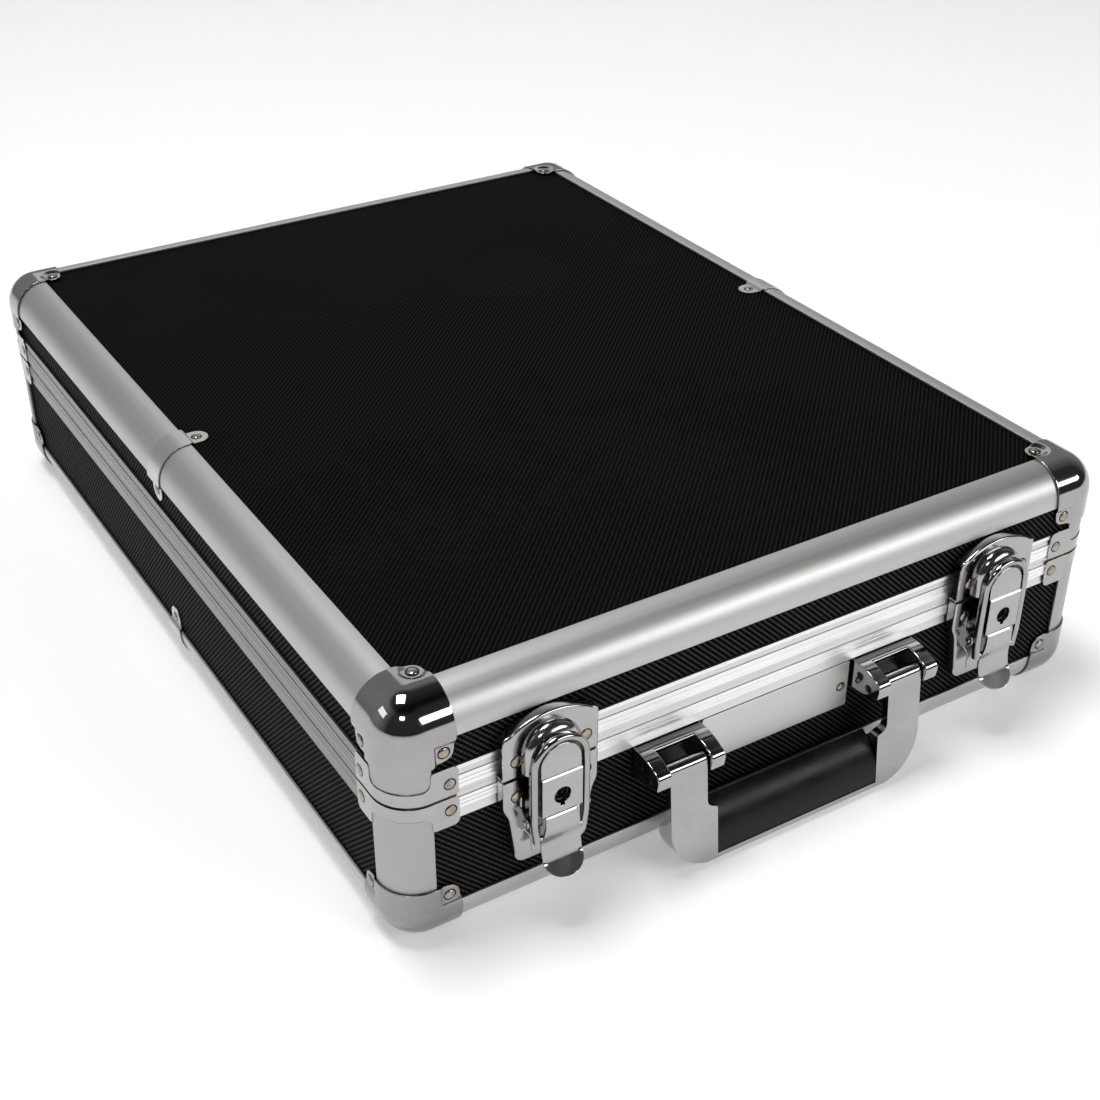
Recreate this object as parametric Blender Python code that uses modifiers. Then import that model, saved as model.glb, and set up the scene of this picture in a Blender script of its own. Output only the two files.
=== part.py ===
"""Aluminium attache case: a boarded tray and lid in quarter-round extrusions, joined by two hinges.

Metres, +Z up. The handle and latches face -Y, the hinges face +Y. The origin is on the ground under
the middle of the whole object. Heights inside the functions are measured from the underside of the
edge extrusions, which the corner caps hold FOOT above the ground.
"""
import math

import bmesh
import bpy
from mathutils import Matrix, Vector

# Case shell, measured over the edge extrusions
WIDTH = 0.350
DEPTH = 0.455
HEIGHT = 0.112
SEAM = 0.069
GAP = 0.0003
WELD = 0.00001

# Edge extrusions: quarter-round outside, with a channel for each board
EDGE_LEG = 0.0166
EDGE_RADIUS = 0.015
EDGE_WALL = 0.0012
CHANNEL_FLOOR = 0.012
ARC_STEPS = 6

# Boards
BOARD_INSET = EDGE_WALL + GAP
BOARD = 0.004
LINING_INSET = BOARD_INSET + BOARD + GAP + EDGE_WALL

# Pressed caps, corner plates and straps stand proud of the extrusions by this much
SHEET = 0.0008
PROUD = GAP + SHEET
FOOT = PROUD
CAP_REACH = 0.027
CAP_ROUND = 0.008

# Closing rims
RIM_BOTTOM = 0.0573
RIM_TOP = 0.0815
RIM_WEB = 0.0018
TONGUE_HEIGHT = 0.002

# Front hardware, as heights and as distances out from the front faces of the extrusions
LATCH_X = 0.111
LATCH_WIDTH = 0.0415
PLATE_OUT = 0.0048
PLATE_SHEET = 0.001
LEVER_AXIS = (0.008, 0.050)
COVER_AXIS = (0.011, 0.042)
KEY_HEIGHT = 0.0609
HANDLE_AXIS = (0.0123, 0.050)
HANDLE_TILT = math.radians(5.5)
HANDLE_HALF = 0.0638
POST_INNER = 0.0463
BRACKET_X = 0.055
BRACKET_WIDTH = 0.032

# Rear hinges
HINGE_X = 0.105
HINGE_OUT = 0.0045
HINGE_RADIUS = 0.003
HINGE_LEAF_WIDTH = 0.040

# The handle reaches further out than the hinges, so the shell sits behind the origin
FRONT_REACH = 0.0199
BACK_REACH = HINGE_OUT + HINGE_RADIUS
CENTRE_Y = (FRONT_REACH - BACK_REACH) / 2
FRONT_Y = CENTRE_Y - DEPTH / 2
BACK_Y = CENTRE_Y + DEPTH / 2

X = Vector((1, 0, 0))
Y = Vector((0, 1, 0))
Z = Vector((0, 0, 1))

ALUMINIUM = ((0.78, 0.78, 0.77), 1.0, 0.38)
CHROME = ((0.72, 0.72, 0.73), 1.0, 0.12)
LAMINATE = ((0.020, 0.018, 0.017), 0.0, 0.50)
FOAM = ((0.035, 0.035, 0.037), 0.0, 0.95)
PLASTIC = ((0.012, 0.012, 0.012), 0.0, 0.42)

SIDES = (("left", -1), ("right", 1))
CORNERS = (
    ("front_left", -1, -1, 0),
    ("front_right", 1, -1, 1),
    ("back_right", 1, 1, 2),
    ("back_left", -1, 1, 3),
)


# ---- scene and modelling helpers ----

def clear_scene():
    for item in list(bpy.data.objects):
        bpy.data.objects.remove(item, do_unlink=True)


def new_collection(name):
    group = bpy.data.collections.new(name)
    bpy.context.scene.collection.children.link(group)
    return group


clear_scene()
PARTS = new_collection("aluminum_attache_case")
CUTTERS = new_collection("cutters")


def axes(u, v, origin):
    """Matrix whose local X and Y run along u and v, with its origin at the given point."""
    turn = Matrix((u, v, u.cross(v))).transposed().to_4x4()
    return Matrix.Translation(origin) @ turn


def front(x, out, height):
    """A point given by its distance out from the front faces and its height on the case."""
    return Vector((x, FRONT_Y - out, FOOT + height))


def solid(name, mesh, matrix):
    item = bpy.data.objects.new(name, mesh)
    PARTS.objects.link(item)
    item.matrix_world = matrix
    return item


def prism(name, loops, thickness, matrix):
    """A flat outline, with any further loops as holes, thickened evenly about its plane."""
    curve = bpy.data.curves.new(name, "CURVE")
    curve.dimensions = "2D"
    curve.fill_mode = "BOTH"
    curve.extrude = thickness / 2
    for loop in loops:
        spline = curve.splines.new("POLY")
        spline.points.add(len(loop) - 1)
        for point, (a, b) in zip(spline.points, loop):
            point.co = (a, b, 0, 1)
        spline.use_cyclic_u = True
    guide = bpy.data.objects.new(name, curve)
    bpy.context.scene.collection.objects.link(guide)
    evaluated = guide.evaluated_get(bpy.context.evaluated_depsgraph_get())
    mesh = bpy.data.meshes.new_from_object(evaluated)
    bpy.data.objects.remove(guide)
    bm = bmesh.new()
    bm.from_mesh(mesh)
    bmesh.ops.remove_doubles(bm, verts=bm.verts, dist=WELD)
    bmesh.ops.recalc_face_normals(bm, faces=bm.faces)
    bm.to_mesh(mesh)
    bm.free()
    return solid(name, mesh, matrix)


def block(name, low, high):
    low, high = Vector(low), Vector(high)
    bm = bmesh.new()
    bmesh.ops.create_cube(bm, size=1)
    bmesh.ops.scale(bm, vec=high - low, verts=bm.verts)
    mesh = bpy.data.meshes.new(name)
    bm.to_mesh(mesh)
    bm.free()
    return solid(name, mesh, Matrix.Translation((low + high) / 2))


def front_block(name, x_range, out_range, height_range):
    low = front(x_range[0], out_range[1], height_range[0])
    high = front(x_range[1], out_range[0], height_range[1])
    return block(name, low, high)


def rod(name, radius, start, end, segments=20):
    """A round bar between two points."""
    start, end = Vector(start), Vector(end)
    bm = bmesh.new()
    bmesh.ops.create_cone(bm, cap_ends=True, segments=segments, radius1=radius, radius2=radius,
                          depth=(end - start).length)
    mesh = bpy.data.meshes.new(name)
    bm.to_mesh(mesh)
    bm.free()
    turn = (end - start).to_track_quat("Z", "Y").to_matrix().to_4x4()
    return solid(name, mesh, Matrix.Translation((start + end) / 2) @ turn)


def boolean(target, tool, operation):
    PARTS.objects.unlink(tool)
    CUTTERS.objects.link(tool)
    tool.hide_render = True
    tool.display_type = "WIRE"
    tool.name = f"{target.name}_{operation.lower()}_{len(target.modifiers)}"
    step = target.modifiers.new(tool.name, "BOOLEAN")
    step.operation = operation
    step.solver = "EXACT"
    step.object = tool


def cut(target, *tools):
    for tool in tools:
        boolean(target, tool, "DIFFERENCE")


def join(target, *tools):
    for tool in tools:
        boolean(target, tool, "UNION")


def finish(item, look):
    """Give the piece its own material, and shade its round faces smooth."""
    colour, metallic, roughness = look
    material = bpy.data.materials.new(item.name)
    material.use_nodes = True
    shader = material.node_tree.nodes["Principled BSDF"]
    shader.inputs["Base Color"].default_value = (*colour, 1)
    shader.inputs["Metallic"].default_value = metallic
    shader.inputs["Roughness"].default_value = roughness
    item.data.materials.clear()
    item.data.materials.append(material)
    item.data.shade_smooth()
    item.data.set_sharp_from_angle(angle=math.radians(35))
    return item


def pivot(name, point, *pieces):
    """An empty on the joint's axis that carries the pieces that turn about it."""
    empty = bpy.data.objects.new(name, None)
    PARTS.objects.link(empty)
    empty.location = point
    for piece in pieces:
        piece.parent = empty
        piece.matrix_parent_inverse = Matrix.Translation(-Vector(point))
    return empty


# ---- outlines ----

def arc(centre, radius, start, end, steps=ARC_STEPS):
    """Points along a circular arc, with its angles in degrees."""
    turns = (math.radians(start + (end - start) * i / steps) for i in range(steps + 1))
    return [(centre[0] + radius * math.cos(t), centre[1] + radius * math.sin(t)) for t in turns]


def rounded_rectangle(half_a, half_b, radius, centre=(0, 0)):
    points = []
    for sign_a, sign_b, start in ((1, 1, 0), (-1, 1, 90), (-1, -1, 180), (1, -1, 270)):
        middle = (centre[0] + sign_a * (half_a - radius), centre[1] + sign_b * (half_b - radius))
        points += arc(middle, radius, start, start + 90)
    return points


def shell_outline(inset):
    """The plan of the case, rounded at its corners and stepped in by the inset."""
    return rounded_rectangle(WIDTH / 2 - inset, DEPTH / 2 - inset, EDGE_RADIUS - inset)


def mirrored(half):
    """Close a half outline, listed top to bottom on the +a side, with its mirror image."""
    return half + [(-a, b) for a, b in reversed(half) if a > 0]


def ring(name, outer_inset, inner_inset, low, high):
    loops = [shell_outline(outer_inset), shell_outline(inner_inset)]
    middle = Matrix.Translation((0, CENTRE_Y, FOOT + (low + high) / 2))
    return prism(name, loops, high - low, middle)


# ---- boards, extrusions and rims ----

def panel(name, low):
    """Flat board whose rims sit in the channels of the four edge extrusions."""
    half_x = WIDTH / 2 - CHANNEL_FLOOR - GAP
    half_y = DEPTH / 2 - CHANNEL_FLOOR - GAP
    return finish(block(name, (-half_x, CENTRE_Y - half_y, FOOT + low),
                        (half_x, CENTRE_Y + half_y, FOOT + low + BOARD)), LAMINATE)


def wall_frame(name, low, high):
    return finish(ring(name, BOARD_INSET, BOARD_INSET + BOARD, low, high), LAMINATE)


def edge_outline():
    """Section of the edge extrusion, from the outer corner inward along both boards."""
    leg, wall, floor = EDGE_LEG, EDGE_WALL, CHANNEL_FLOOR
    middle = (EDGE_RADIUS, EDGE_RADIUS)
    lining = LINING_INSET - wall
    outside = [(leg, 0)] + arc(middle, EDGE_RADIUS, 270, 180) + [(0, leg)]
    inside = [(wall, leg), (wall, floor), (lining, floor), (lining, leg), (LINING_INSET, leg),
              (LINING_INSET, LINING_INSET), (leg, LINING_INSET), (leg, lining), (floor, lining),
              (floor, wall), (leg, wall)]
    shoulder = floor - wall
    drop = math.degrees(math.asin((EDGE_RADIUS - shoulder) / (EDGE_RADIUS - wall)))
    hollow = arc(middle, EDGE_RADIUS - wall, 180 + drop, 270 - drop)
    hollow += [(shoulder, lining), (lining, lining), (lining, shoulder)]
    return [outside + inside, hollow]


def edge(name, side, upward):
    """One edge extrusion: side is the outward direction, upward the way its other leg points."""
    along_x = abs(side.y) > 0
    inward = -side
    length = (WIDTH if along_x else DEPTH) - 2 * (EDGE_LEG + GAP)
    level = FOOT if upward.z > 0 else FOOT + HEIGHT
    origin = Vector((side.x * WIDTH / 2, CENTRE_Y + side.y * DEPTH / 2, level))
    return finish(prism(name, edge_outline(), length, axes(inward, upward, origin)), ALUMINIUM)


def four_edges(prefix, upward):
    names = (("front", -Y), ("back", Y), ("left", -X), ("right", X))
    return [edge(f"{prefix}_edge_{word}", side, upward) for word, side in names]


def corner_matrix(sign_x, sign_y, quarter, height):
    """Frame at a vertical corner of the case, with the case on its +X and +Y sides."""
    point = Vector((sign_x * WIDTH / 2, CENTRE_Y + sign_y * DEPTH / 2, FOOT + height))
    return Matrix.Translation(point) @ Matrix.Rotation(quarter * math.pi / 2, 4, "Z")


def bent_strip(reach, inner_radius, outer_radius):
    """Section of a strip bent round the quarter-round edge, with a leg along each face."""
    middle = (EDGE_RADIUS, EDGE_RADIUS)
    near = EDGE_RADIUS - inner_radius
    far = EDGE_RADIUS - outer_radius
    outside = [(reach, far)] + arc(middle, outer_radius, 270, 180) + [(far, reach)]
    inside = [(near, reach)] + arc(middle, inner_radius, 180, 270) + [(reach, near)]
    return [outside + inside]


def posts():
    low, high = EDGE_LEG + GAP, RIM_BOTTOM - GAP
    section = bent_strip(EDGE_LEG, EDGE_RADIUS - EDGE_WALL, EDGE_RADIUS)
    for word, sign_x, sign_y, quarter in CORNERS:
        matrix = corner_matrix(sign_x, sign_y, quarter, (low + high) / 2)
        finish(prism(f"base_post_{word}", section, high - low, matrix), ALUMINIUM)


def base_rim():
    """H-section closing rim over the wall boards, with a tongue that stands into the lid's rim."""
    top = SEAM - GAP
    rim = ring("base_rim_frame", 0, EDGE_WALL, RIM_BOTTOM, top)
    tongue = (0.0032, 0.0042)
    join(rim,
         ring("web", EDGE_WALL / 2, LINING_INSET - EDGE_WALL / 2, top - RIM_WEB, top - WELD),
         ring("lining_flange", LINING_INSET - EDGE_WALL, LINING_INSET, 0.060, top - 2 * WELD),
         ring("tongue", *tongue, top - RIM_WEB / 2, SEAM + TONGUE_HEIGHT))
    return finish(rim, ALUMINIUM)


def lid_rim():
    """H-section closing rim under the lid's wall boards, open below to take the tongue."""
    bottom = SEAM + GAP
    web = SEAM + TONGUE_HEIGHT + EDGE_WALL
    rim = ring("lid_rim_frame", 0, EDGE_WALL, bottom, RIM_TOP)
    join(rim,
         ring("web", EDGE_WALL / 2, LINING_INSET - EDGE_WALL / 2, web, web + RIM_WEB),
         ring("lining_flange", LINING_INSET - EDGE_WALL, LINING_INSET, bottom + WELD, 0.078))
    finish(rim, ALUMINIUM)
    return web + RIM_WEB


# ---- pressed corner and edge hardware ----

def cap_mesh():
    """Open sheet over one case corner: a rounded cube corner with a round-nosed tab on each face."""
    arc_parts, flat_parts = 3, 2
    parts = arc_parts + flat_parts
    flat = CAP_REACH - EDGE_RADIUS
    radius = EDGE_RADIUS + GAP
    bm = bmesh.new()
    bmesh.ops.create_cube(bm, size=1)
    bmesh.ops.subdivide_edges(bm, edges=bm.edges, cuts=parts - 1, use_grid_fill=True)
    far = [f for f in bm.faces if max(f.normal) > 0.5]
    bmesh.ops.delete(bm, geom=far, context="FACES")

    def place(coordinate):
        step = round((coordinate + 0.5) * parts)
        if step <= arc_parts:
            return -math.tan(math.radians(45) * (arc_parts - step) / arc_parts)
        return flat * (step - arc_parts) / flat_parts

    for vert in bm.verts:
        offset = Vector([place(c) for c in vert.co])
        core = Vector([max(c, 0) for c in offset])
        lean = Vector([min(c, 0) for c in offset])
        wide = [axis for axis in range(3) if core[axis] > flat - CAP_ROUND]
        if len(wide) == 2:
            reach = [core[axis] - (flat - CAP_ROUND) for axis in wide]
            shrink = max(reach) / math.hypot(*reach)
            for axis, amount in zip(wide, reach):
                core[axis] = flat - CAP_ROUND + amount * shrink
        vert.co = Vector((EDGE_RADIUS,) * 3) + core + radius * lean.normalized()
    mesh = bpy.data.meshes.new("corner_cap")
    bm.to_mesh(mesh)
    bm.free()
    return mesh


def caps(prefix, height, flip):
    """Four ball corners. Turning the sheet over makes it fit the lid's top corners."""
    for word, sign_x, sign_y, quarter in CORNERS:
        turn = Matrix.Rotation(math.pi / 2, 4, "Z") @ Matrix.Rotation(math.pi, 4, "X")
        matrix = corner_matrix(sign_x, sign_y, quarter, height) @ (turn if flip else Matrix())
        cap = solid(f"{prefix}_corner_{word}", cap_mesh(), matrix)
        sheet = cap.modifiers.new("sheet", "SOLIDIFY")
        sheet.thickness = SHEET
        sheet.offset = 1
        finish(cap, CHROME)


def rim_plates(prefix, low, high, strap_low, strap_high):
    """Plates round the rim's corners: two wings joined by a narrow strap beside the seam."""
    section = bent_strip(0.0273, EDGE_RADIUS + GAP, EDGE_RADIUS + PROUD)
    beyond = 0.001
    notch_low, notch_high = strap_high, high + beyond
    if strap_high == high:
        notch_low, notch_high = low - beyond, strap_low
    for word, sign_x, sign_y, quarter in CORNERS:
        matrix = corner_matrix(sign_x, sign_y, quarter, (low + high) / 2)
        plate = prism(f"{prefix}_rim_corner_{word}", section, high - low, matrix)
        notch = block("notch", (-0.005, -0.005, 0), (0.0158, 0.0158, notch_high - notch_low))
        notch.matrix_world = (corner_matrix(sign_x, sign_y, quarter, (notch_low + notch_high) / 2)
                              @ Matrix.Translation((0.0054, 0.0054, 0)))
        cut(plate, notch)
        finish(plate, CHROME)


def straps(prefix, level, upward):
    """Clips bent round the long edges at mid length."""
    section = bent_strip(0.026, EDGE_RADIUS + GAP, EDGE_RADIUS + PROUD)
    for word, sign in SIDES:
        origin = Vector((sign * WIDTH / 2, CENTRE_Y, FOOT + level))
        matrix = axes(-sign * X, upward, origin)
        finish(prism(f"{prefix}_strap_{word}", section, 0.0175, matrix), CHROME)


# ---- foam ----

def foam_block(name, low, high):
    outline = [shell_outline(LINING_INSET + GAP)]
    middle = Matrix.Translation((0, CENTRE_Y, FOOT + (low + high) / 2))
    return prism(name, outline, high - low, middle)


def base_foam():
    top = SEAM - 0.003
    foam = foam_block("base_foam", LINING_INSET + GAP, top)
    pockets = ((0.122, 0.135, -0.052, 0.020), (0.122, 0.038, 0.145, 0.030))
    for half_x, half_y, centre_y, floor in pockets:
        loop = rounded_rectangle(half_x, half_y, 0.008)
        middle = Matrix.Translation((0, CENTRE_Y + centre_y, FOOT + floor + 0.05))
        cut(foam, prism("pocket", [loop], 0.1, middle))
    return finish(foam, FOAM)


# ---- latches ----

def front_prism(name, loops, out_range, x=0):
    """A plate outline of (x, height) pairs, thickened between two distances out from the front."""
    low, high = out_range
    matrix = axes(X, Z, front(x, (low + high) / 2, 0))
    return prism(name, loops, high - low, matrix)


def side_prism(name, loops, x_range):
    """A side outline of (out, height) pairs, thickened between two x positions."""
    low, high = x_range
    matrix = axes(-Y, Z, front((low + high) / 2, 0, 0))
    return prism(name, loops, high - low, matrix)


def pressed_plate(name, x, outline, hollow):
    """Pressed plate with its sides turned back to the case, open along the seam."""
    plate = front_prism(name, [outline], (GAP, PLATE_OUT), x)
    cut(plate, front_prism("hollow", [hollow], (-0.002, PLATE_OUT - PLATE_SHEET), x))
    return plate


def latch_keeper(word, x):
    half = LATCH_WIDTH / 2
    shoulder, crown = 0.0890, 0.0950
    rise = crown - shoulder
    flat = 0.0025
    chord = half - flat
    radius = (chord ** 2 + rise ** 2) / (2 * rise)
    spread = math.degrees(math.asin(chord / radius))
    top = arc((0, crown - radius), radius, 90, 90 - spread)
    bottom = SEAM + 0.0004
    outline = mirrored(top + [(half, shoulder), (half, bottom)])
    inner = half - PLATE_SHEET
    hollow = [(-inner, 0.060), (inner, 0.060), (inner, shoulder - PLATE_SHEET),
              (-inner, shoulder - PLATE_SHEET)]
    keeper = pressed_plate(f"latch_keeper_{word}", x, outline, hollow)
    dome = mirrored(arc((0, 0.0767), 0.0138, 90, 0) + [(0.0138, 0.0722)])
    join(keeper, front_prism("dome", [dome], (0.0042, 0.0091), x))
    return finish(keeper, CHROME)


def latch_base(word, x):
    half = LATCH_WIDTH / 2
    top = SEAM - 0.0004
    outline = mirrored([(half, top), (half, 0.0548), (0.0180, 0.0486)]
                       + arc((0.0120, 0.0317), 0.0042, 0, -90, 4))
    hollow = mirrored([(half - PLATE_SHEET, top + 0.01), (half - PLATE_SHEET, 0.0552),
                       (0.0168, 0.0490), (0.0152, 0.0330), (0.0110, 0.0286)])
    plate = pressed_plate(f"latch_base_{word}", x, outline, hollow)
    pin_out, pin_height = LEVER_AXIS
    for sign in (-1, 1):
        inner, outer = sorted((x + sign * 0.0130, x + sign * 0.0143))
        ear = arc((pin_out, pin_height), 0.0031, -40, 90) + [(0.0042, 0.0540), (0.0042, 0.0385)]
        join(plate, side_prism("ear", [ear], (inner, outer)))
    cut(plate, rod("pin_hole", 0.0016, front(x - 0.02, pin_out, pin_height),
                   front(x + 0.02, pin_out, pin_height)))
    return finish(plate, CHROME)


def latch_cover(word, x):
    """Oval hasp plate with a raised tongue that holds the lock, and two arms down to its pin."""
    half, tongue_half, notch_half = 0.0127, 0.00885, 0.0089
    crown = 0.0880
    notch_top = 0.0534
    outline = mirrored(arc((0, crown - half), half, 90, 0)
                       + [(half, 0.0460), (0.0110, 0.0425), (0.0100, 0.0400), (0.0090, 0.0400)]
                       + [(notch_half, notch_top)])
    cover = front_prism(f"latch_cover_{word}", [outline], (0.0096, 0.0119), x)
    tongue = mirrored(arc((0, 0.0840 - tongue_half), tongue_half, 90, 0)
                      + [(tongue_half - WELD, notch_top + WELD)])
    join(cover, front_prism("tongue", [tongue], (0.0112, 0.0126), x))
    cut(cover,
        rod("barrel_hole", 0.0041, front(x, 0.005, KEY_HEIGHT), front(x, 0.016, KEY_HEIGHT), 24),
        rod("pin_hole", 0.0012, front(x - 0.02, *COVER_AXIS), front(x + 0.02, *COVER_AXIS), 12))
    return finish(cover, CHROME)


def latch_lever(word, x):
    """Finger tab with two cheeks that turn on the base plate's ears and carry the cover's pin."""
    half = 0.0085
    tip = 0.0215
    outline = mirrored([(half, 0.0528)] + arc((0, tip + half), half, 0, -90))
    lever = front_prism(f"latch_lever_{word}", [outline], (0.0122, 0.0134), x)
    cheek = (arc(LEVER_AXIS, 0.0024, 90, 210, 5) + arc((0.0110, 0.0400), 0.0018, 210, 270, 3)
             + [(0.0128, 0.0382), (0.0128, 0.0524)])
    for sign in (-1, 1):
        inner, outer = sorted((x + sign * 0.0060, x + sign * 0.0083))
        join(lever, side_prism("cheek", [cheek], (inner, outer)))
    join(lever,
         rod("lever_pin", 0.0013, front(x - 0.0143, *LEVER_AXIS), front(x + 0.0143, *LEVER_AXIS)),
         rod("cover_pin", 0.0009, front(x - 0.0100, *COVER_AXIS), front(x + 0.0100, *COVER_AXIS), 12))
    return finish(lever, CHROME)


def lock_barrel(word, x):
    """Lock plug with a keyway, and a cam behind the cover."""
    barrel = rod(f"lock_barrel_{word}", 0.0038, front(x, 0.0070, KEY_HEIGHT),
                 front(x, 0.0124, KEY_HEIGHT), 24)
    join(barrel, front_block("cam", (x - 0.0020, x + 0.0020), (0.0066, 0.0082),
                             (KEY_HEIGHT - 0.0080, KEY_HEIGHT + 0.0020)))
    cut(barrel,
        rod("key_pin", 0.0014, front(x, 0.0100, KEY_HEIGHT + 0.0006),
            front(x, 0.0150, KEY_HEIGHT + 0.0006), 12),
        front_block("keyway", (x - 0.0005, x + 0.0005), (0.0100, 0.0150),
                    (KEY_HEIGHT - 0.0028, KEY_HEIGHT)))
    return finish(barrel, CHROME)


def latches():
    for word, sign in SIDES:
        x = sign * LATCH_X
        latch_keeper(word, x)
        latch_base(word, x)
        lever = latch_lever(word, x)
        cover = latch_cover(word, x)
        barrel = lock_barrel(word, x)
        pivot(f"latch_lever_axis_{word}", front(x, *LEVER_AXIS), lever)
        pivot(f"latch_cover_axis_{word}", front(x, *COVER_AXIS), cover)
        pivot(f"lock_barrel_axis_{word}", front(x, LEVER_AXIS[0], KEY_HEIGHT), barrel)


# ---- handle ----

def handle_bracket(word, sign):
    """Bracket with two cheeks round the handle's hub, bridged along its top at the back."""
    centre = sign * BRACKET_X
    half = BRACKET_WIDTH / 2
    back = -BOARD_INSET + GAP
    top, bottom = RIM_BOTTOM - GAP, 0.0430
    cheek = ([(back, bottom), (0.0168, 0.0465)] + arc((0.0145, 0.0510), 0.0032, -20, 75, 4)
             + [(0.0090, top), (back, top)])
    bracket = front_prism(f"handle_bracket_{word}",
                          [rounded_rectangle(half, (top - bottom) / 2, 0.001,
                                             (0, (top + bottom) / 2))],
                          (back, back + 0.0022), centre)
    for side in (-1, 1):
        inner = centre + side * (half - 0.0066)
        outer = centre + side * (half - WELD)
        join(bracket, side_prism("cheek", [cheek], sorted((inner, outer))))
    join(bracket, front_block("bridge", (centre - half + 0.001, centre + half - 0.001),
                              (back + 0.001, 0.0045), (top - 0.0024, top - WELD)))
    cut(bracket, rod("pin_hole", 0.0023, front(centre - 0.03, *HANDLE_AXIS),
                     front(centre + 0.03, *HANDLE_AXIS)))
    return finish(bracket, CHROME)


def handle():
    """Hanging handle: a cast U-frame on four trunnions, with a grip held between its ends."""
    axis_point = front(0, *HANDLE_AXIS)
    lean = Matrix.Translation(axis_point) @ Matrix.Rotation(-HANDLE_TILT, 4, "X")
    across = lean @ axes(X, Z, Vector((0, 0, 0)))
    sideways = lean @ axes(-Y, Z, Vector((0, 0, 0)))
    grip_half, grip_top, grip_floor, foot = 0.0414, -0.0238, -0.0468, -0.0495
    round_off = 0.0218

    outline = mirrored([(grip_half, grip_floor), (grip_half, grip_top), (POST_INNER, grip_top + 0.004),
                        (POST_INNER, 0.0040), (HANDLE_HALF, 0.0040)]
                       + arc((HANDLE_HALF - round_off, foot + round_off), round_off, 0, -90, 8))
    side = (arc((0, 0), 0.0034, 0, 180, 8)
            + [(-0.0012, -0.0060), (-0.0006, -0.0190), (-0.0062, -0.0310), (-0.0066, -0.0450),
               (-0.0048, foot), (0.0022, foot), (0.0032, foot + 0.0014)])
    frame = prism("handle_frame", [outline], 0.04, across)
    boolean(frame, prism("side_shape", [side], 0.2, sideways), "INTERSECT")
    for word, sign in SIDES:
        centre = sign * BRACKET_X
        join(frame, rod("trunnion", 0.0020, front(centre - 0.0125, *HANDLE_AXIS),
                        front(centre + 0.0125, *HANDLE_AXIS)))
    finish(frame, CHROME)

    low, high = grip_floor + GAP, grip_top
    section = [(-0.0052, low), (0.0026, low), (0.0031, low + 0.0024), (0.0029, low + 0.0080),
               (0.0013, low + 0.0140), (-0.0014, low + 0.0190), (-0.0044, high - 0.0004), (-0.0056, high),
               (-0.0066, high - 0.0040), (-0.0066, low + 0.0040)]
    grip = prism("handle_grip", [section], 2 * (grip_half - GAP), sideways)
    finish(grip, PLASTIC)
    pivot("handle_axis", axis_point, frame, grip)


def nameplate():
    half, low, high = 0.0377, 0.0340, RIM_BOTTOM - 2 * GAP
    loop = rounded_rectangle(half, (high - low) / 2, 0.0008, (0, (high + low) / 2))
    back = -BOARD_INSET + GAP
    return finish(front_prism("nameplate", [loop], (back, back + 0.0010)), ALUMINIUM)


# ---- rear hinges ----

def hinge(word, x):
    """Five-knuckle hinge: the lower leaf has three knuckles and the pin, the upper leaf has two."""
    axis_y, axis_z = BACK_Y + HINGE_OUT, FOOT + SEAM
    half = HINGE_LEAF_WIDTH / 2
    pitch = HINGE_LEAF_WIDTH / 5
    leaf_near, leaf_far = BACK_Y + GAP, BACK_Y + GAP + 0.0012

    def leaf(name, low, high, knuckles, side):
        plate = block(name, (x - half, leaf_near, axis_z + low), (x + half, leaf_far, axis_z + high))
        for index in knuckles:
            start = x - half + index * pitch + GAP / 2
            end = start + pitch - GAP
            arm = sorted((side * 0.0009, side * (HINGE_RADIUS - 0.0002)))
            join(plate,
                 block("arm", (start, leaf_near + WELD, axis_z + arm[0]),
                       (end, axis_y, axis_z + arm[1])),
                 rod("knuckle", HINGE_RADIUS, (start - WELD, axis_y, axis_z),
                     (end + WELD, axis_y, axis_z), 24))
        return plate

    lower = leaf(f"hinge_lower_{word}", -0.0110, -0.0005, (0, 2, 4), -1)
    join(lower, rod("pin", 0.0013, (x - half + 0.001, axis_y, axis_z),
                    (x + half - 0.001, axis_y, axis_z), 16))
    upper = leaf(f"hinge_upper_{word}", 0.0005, 0.0110, (1, 3), 1)
    cut(upper, rod("pin_hole", 0.0017, (x - half, axis_y, axis_z), (x + half, axis_y, axis_z), 16))
    finish(lower, CHROME)
    finish(upper, CHROME)
    return upper


# ---- assembly ----

def build_base():
    panel("base_bottom_panel", BOARD_INSET)
    wall_frame("base_wall_frame", CHANNEL_FLOOR + GAP, SEAM - GAP - RIM_WEB - GAP)
    four_edges("base", Z)
    posts()
    base_rim()
    caps("base", 0, False)
    rim_plates("base", 0.0553, SEAM - 0.0006, 0.0625, SEAM - 0.0006)
    straps("base", 0, Z)
    base_foam()
    nameplate()


def build_lid():
    panel("lid_top_panel", HEIGHT - BOARD_INSET - BOARD)
    web_top = lid_rim()
    wall_frame("lid_wall_frame", web_top + GAP, HEIGHT - CHANNEL_FLOOR - GAP)
    four_edges("lid", -Z)
    caps("lid", HEIGHT, True)
    rim_plates("lid", SEAM + 0.0006, 0.0826, SEAM + 0.0006, 0.0752)
    straps("lid", HEIGHT, -Z)
    finish(foam_block("lid_foam", 0.0840, HEIGHT - LINING_INSET - GAP), FOAM)


def main():
    build_base()
    build_lid()
    latches()
    for word, sign in SIDES:
        handle_bracket(word, sign)
        hinge(word, sign * HINGE_X)
    handle()
    lid_pieces = [item for item in PARTS.objects
                  if item.type == "MESH" and item.name.startswith(("lid_", "latch_keeper", "hinge_upper"))]
    pivot("lid_axis", (0, BACK_Y + HINGE_OUT, FOOT + SEAM), *lid_pieces)


main()
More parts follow.
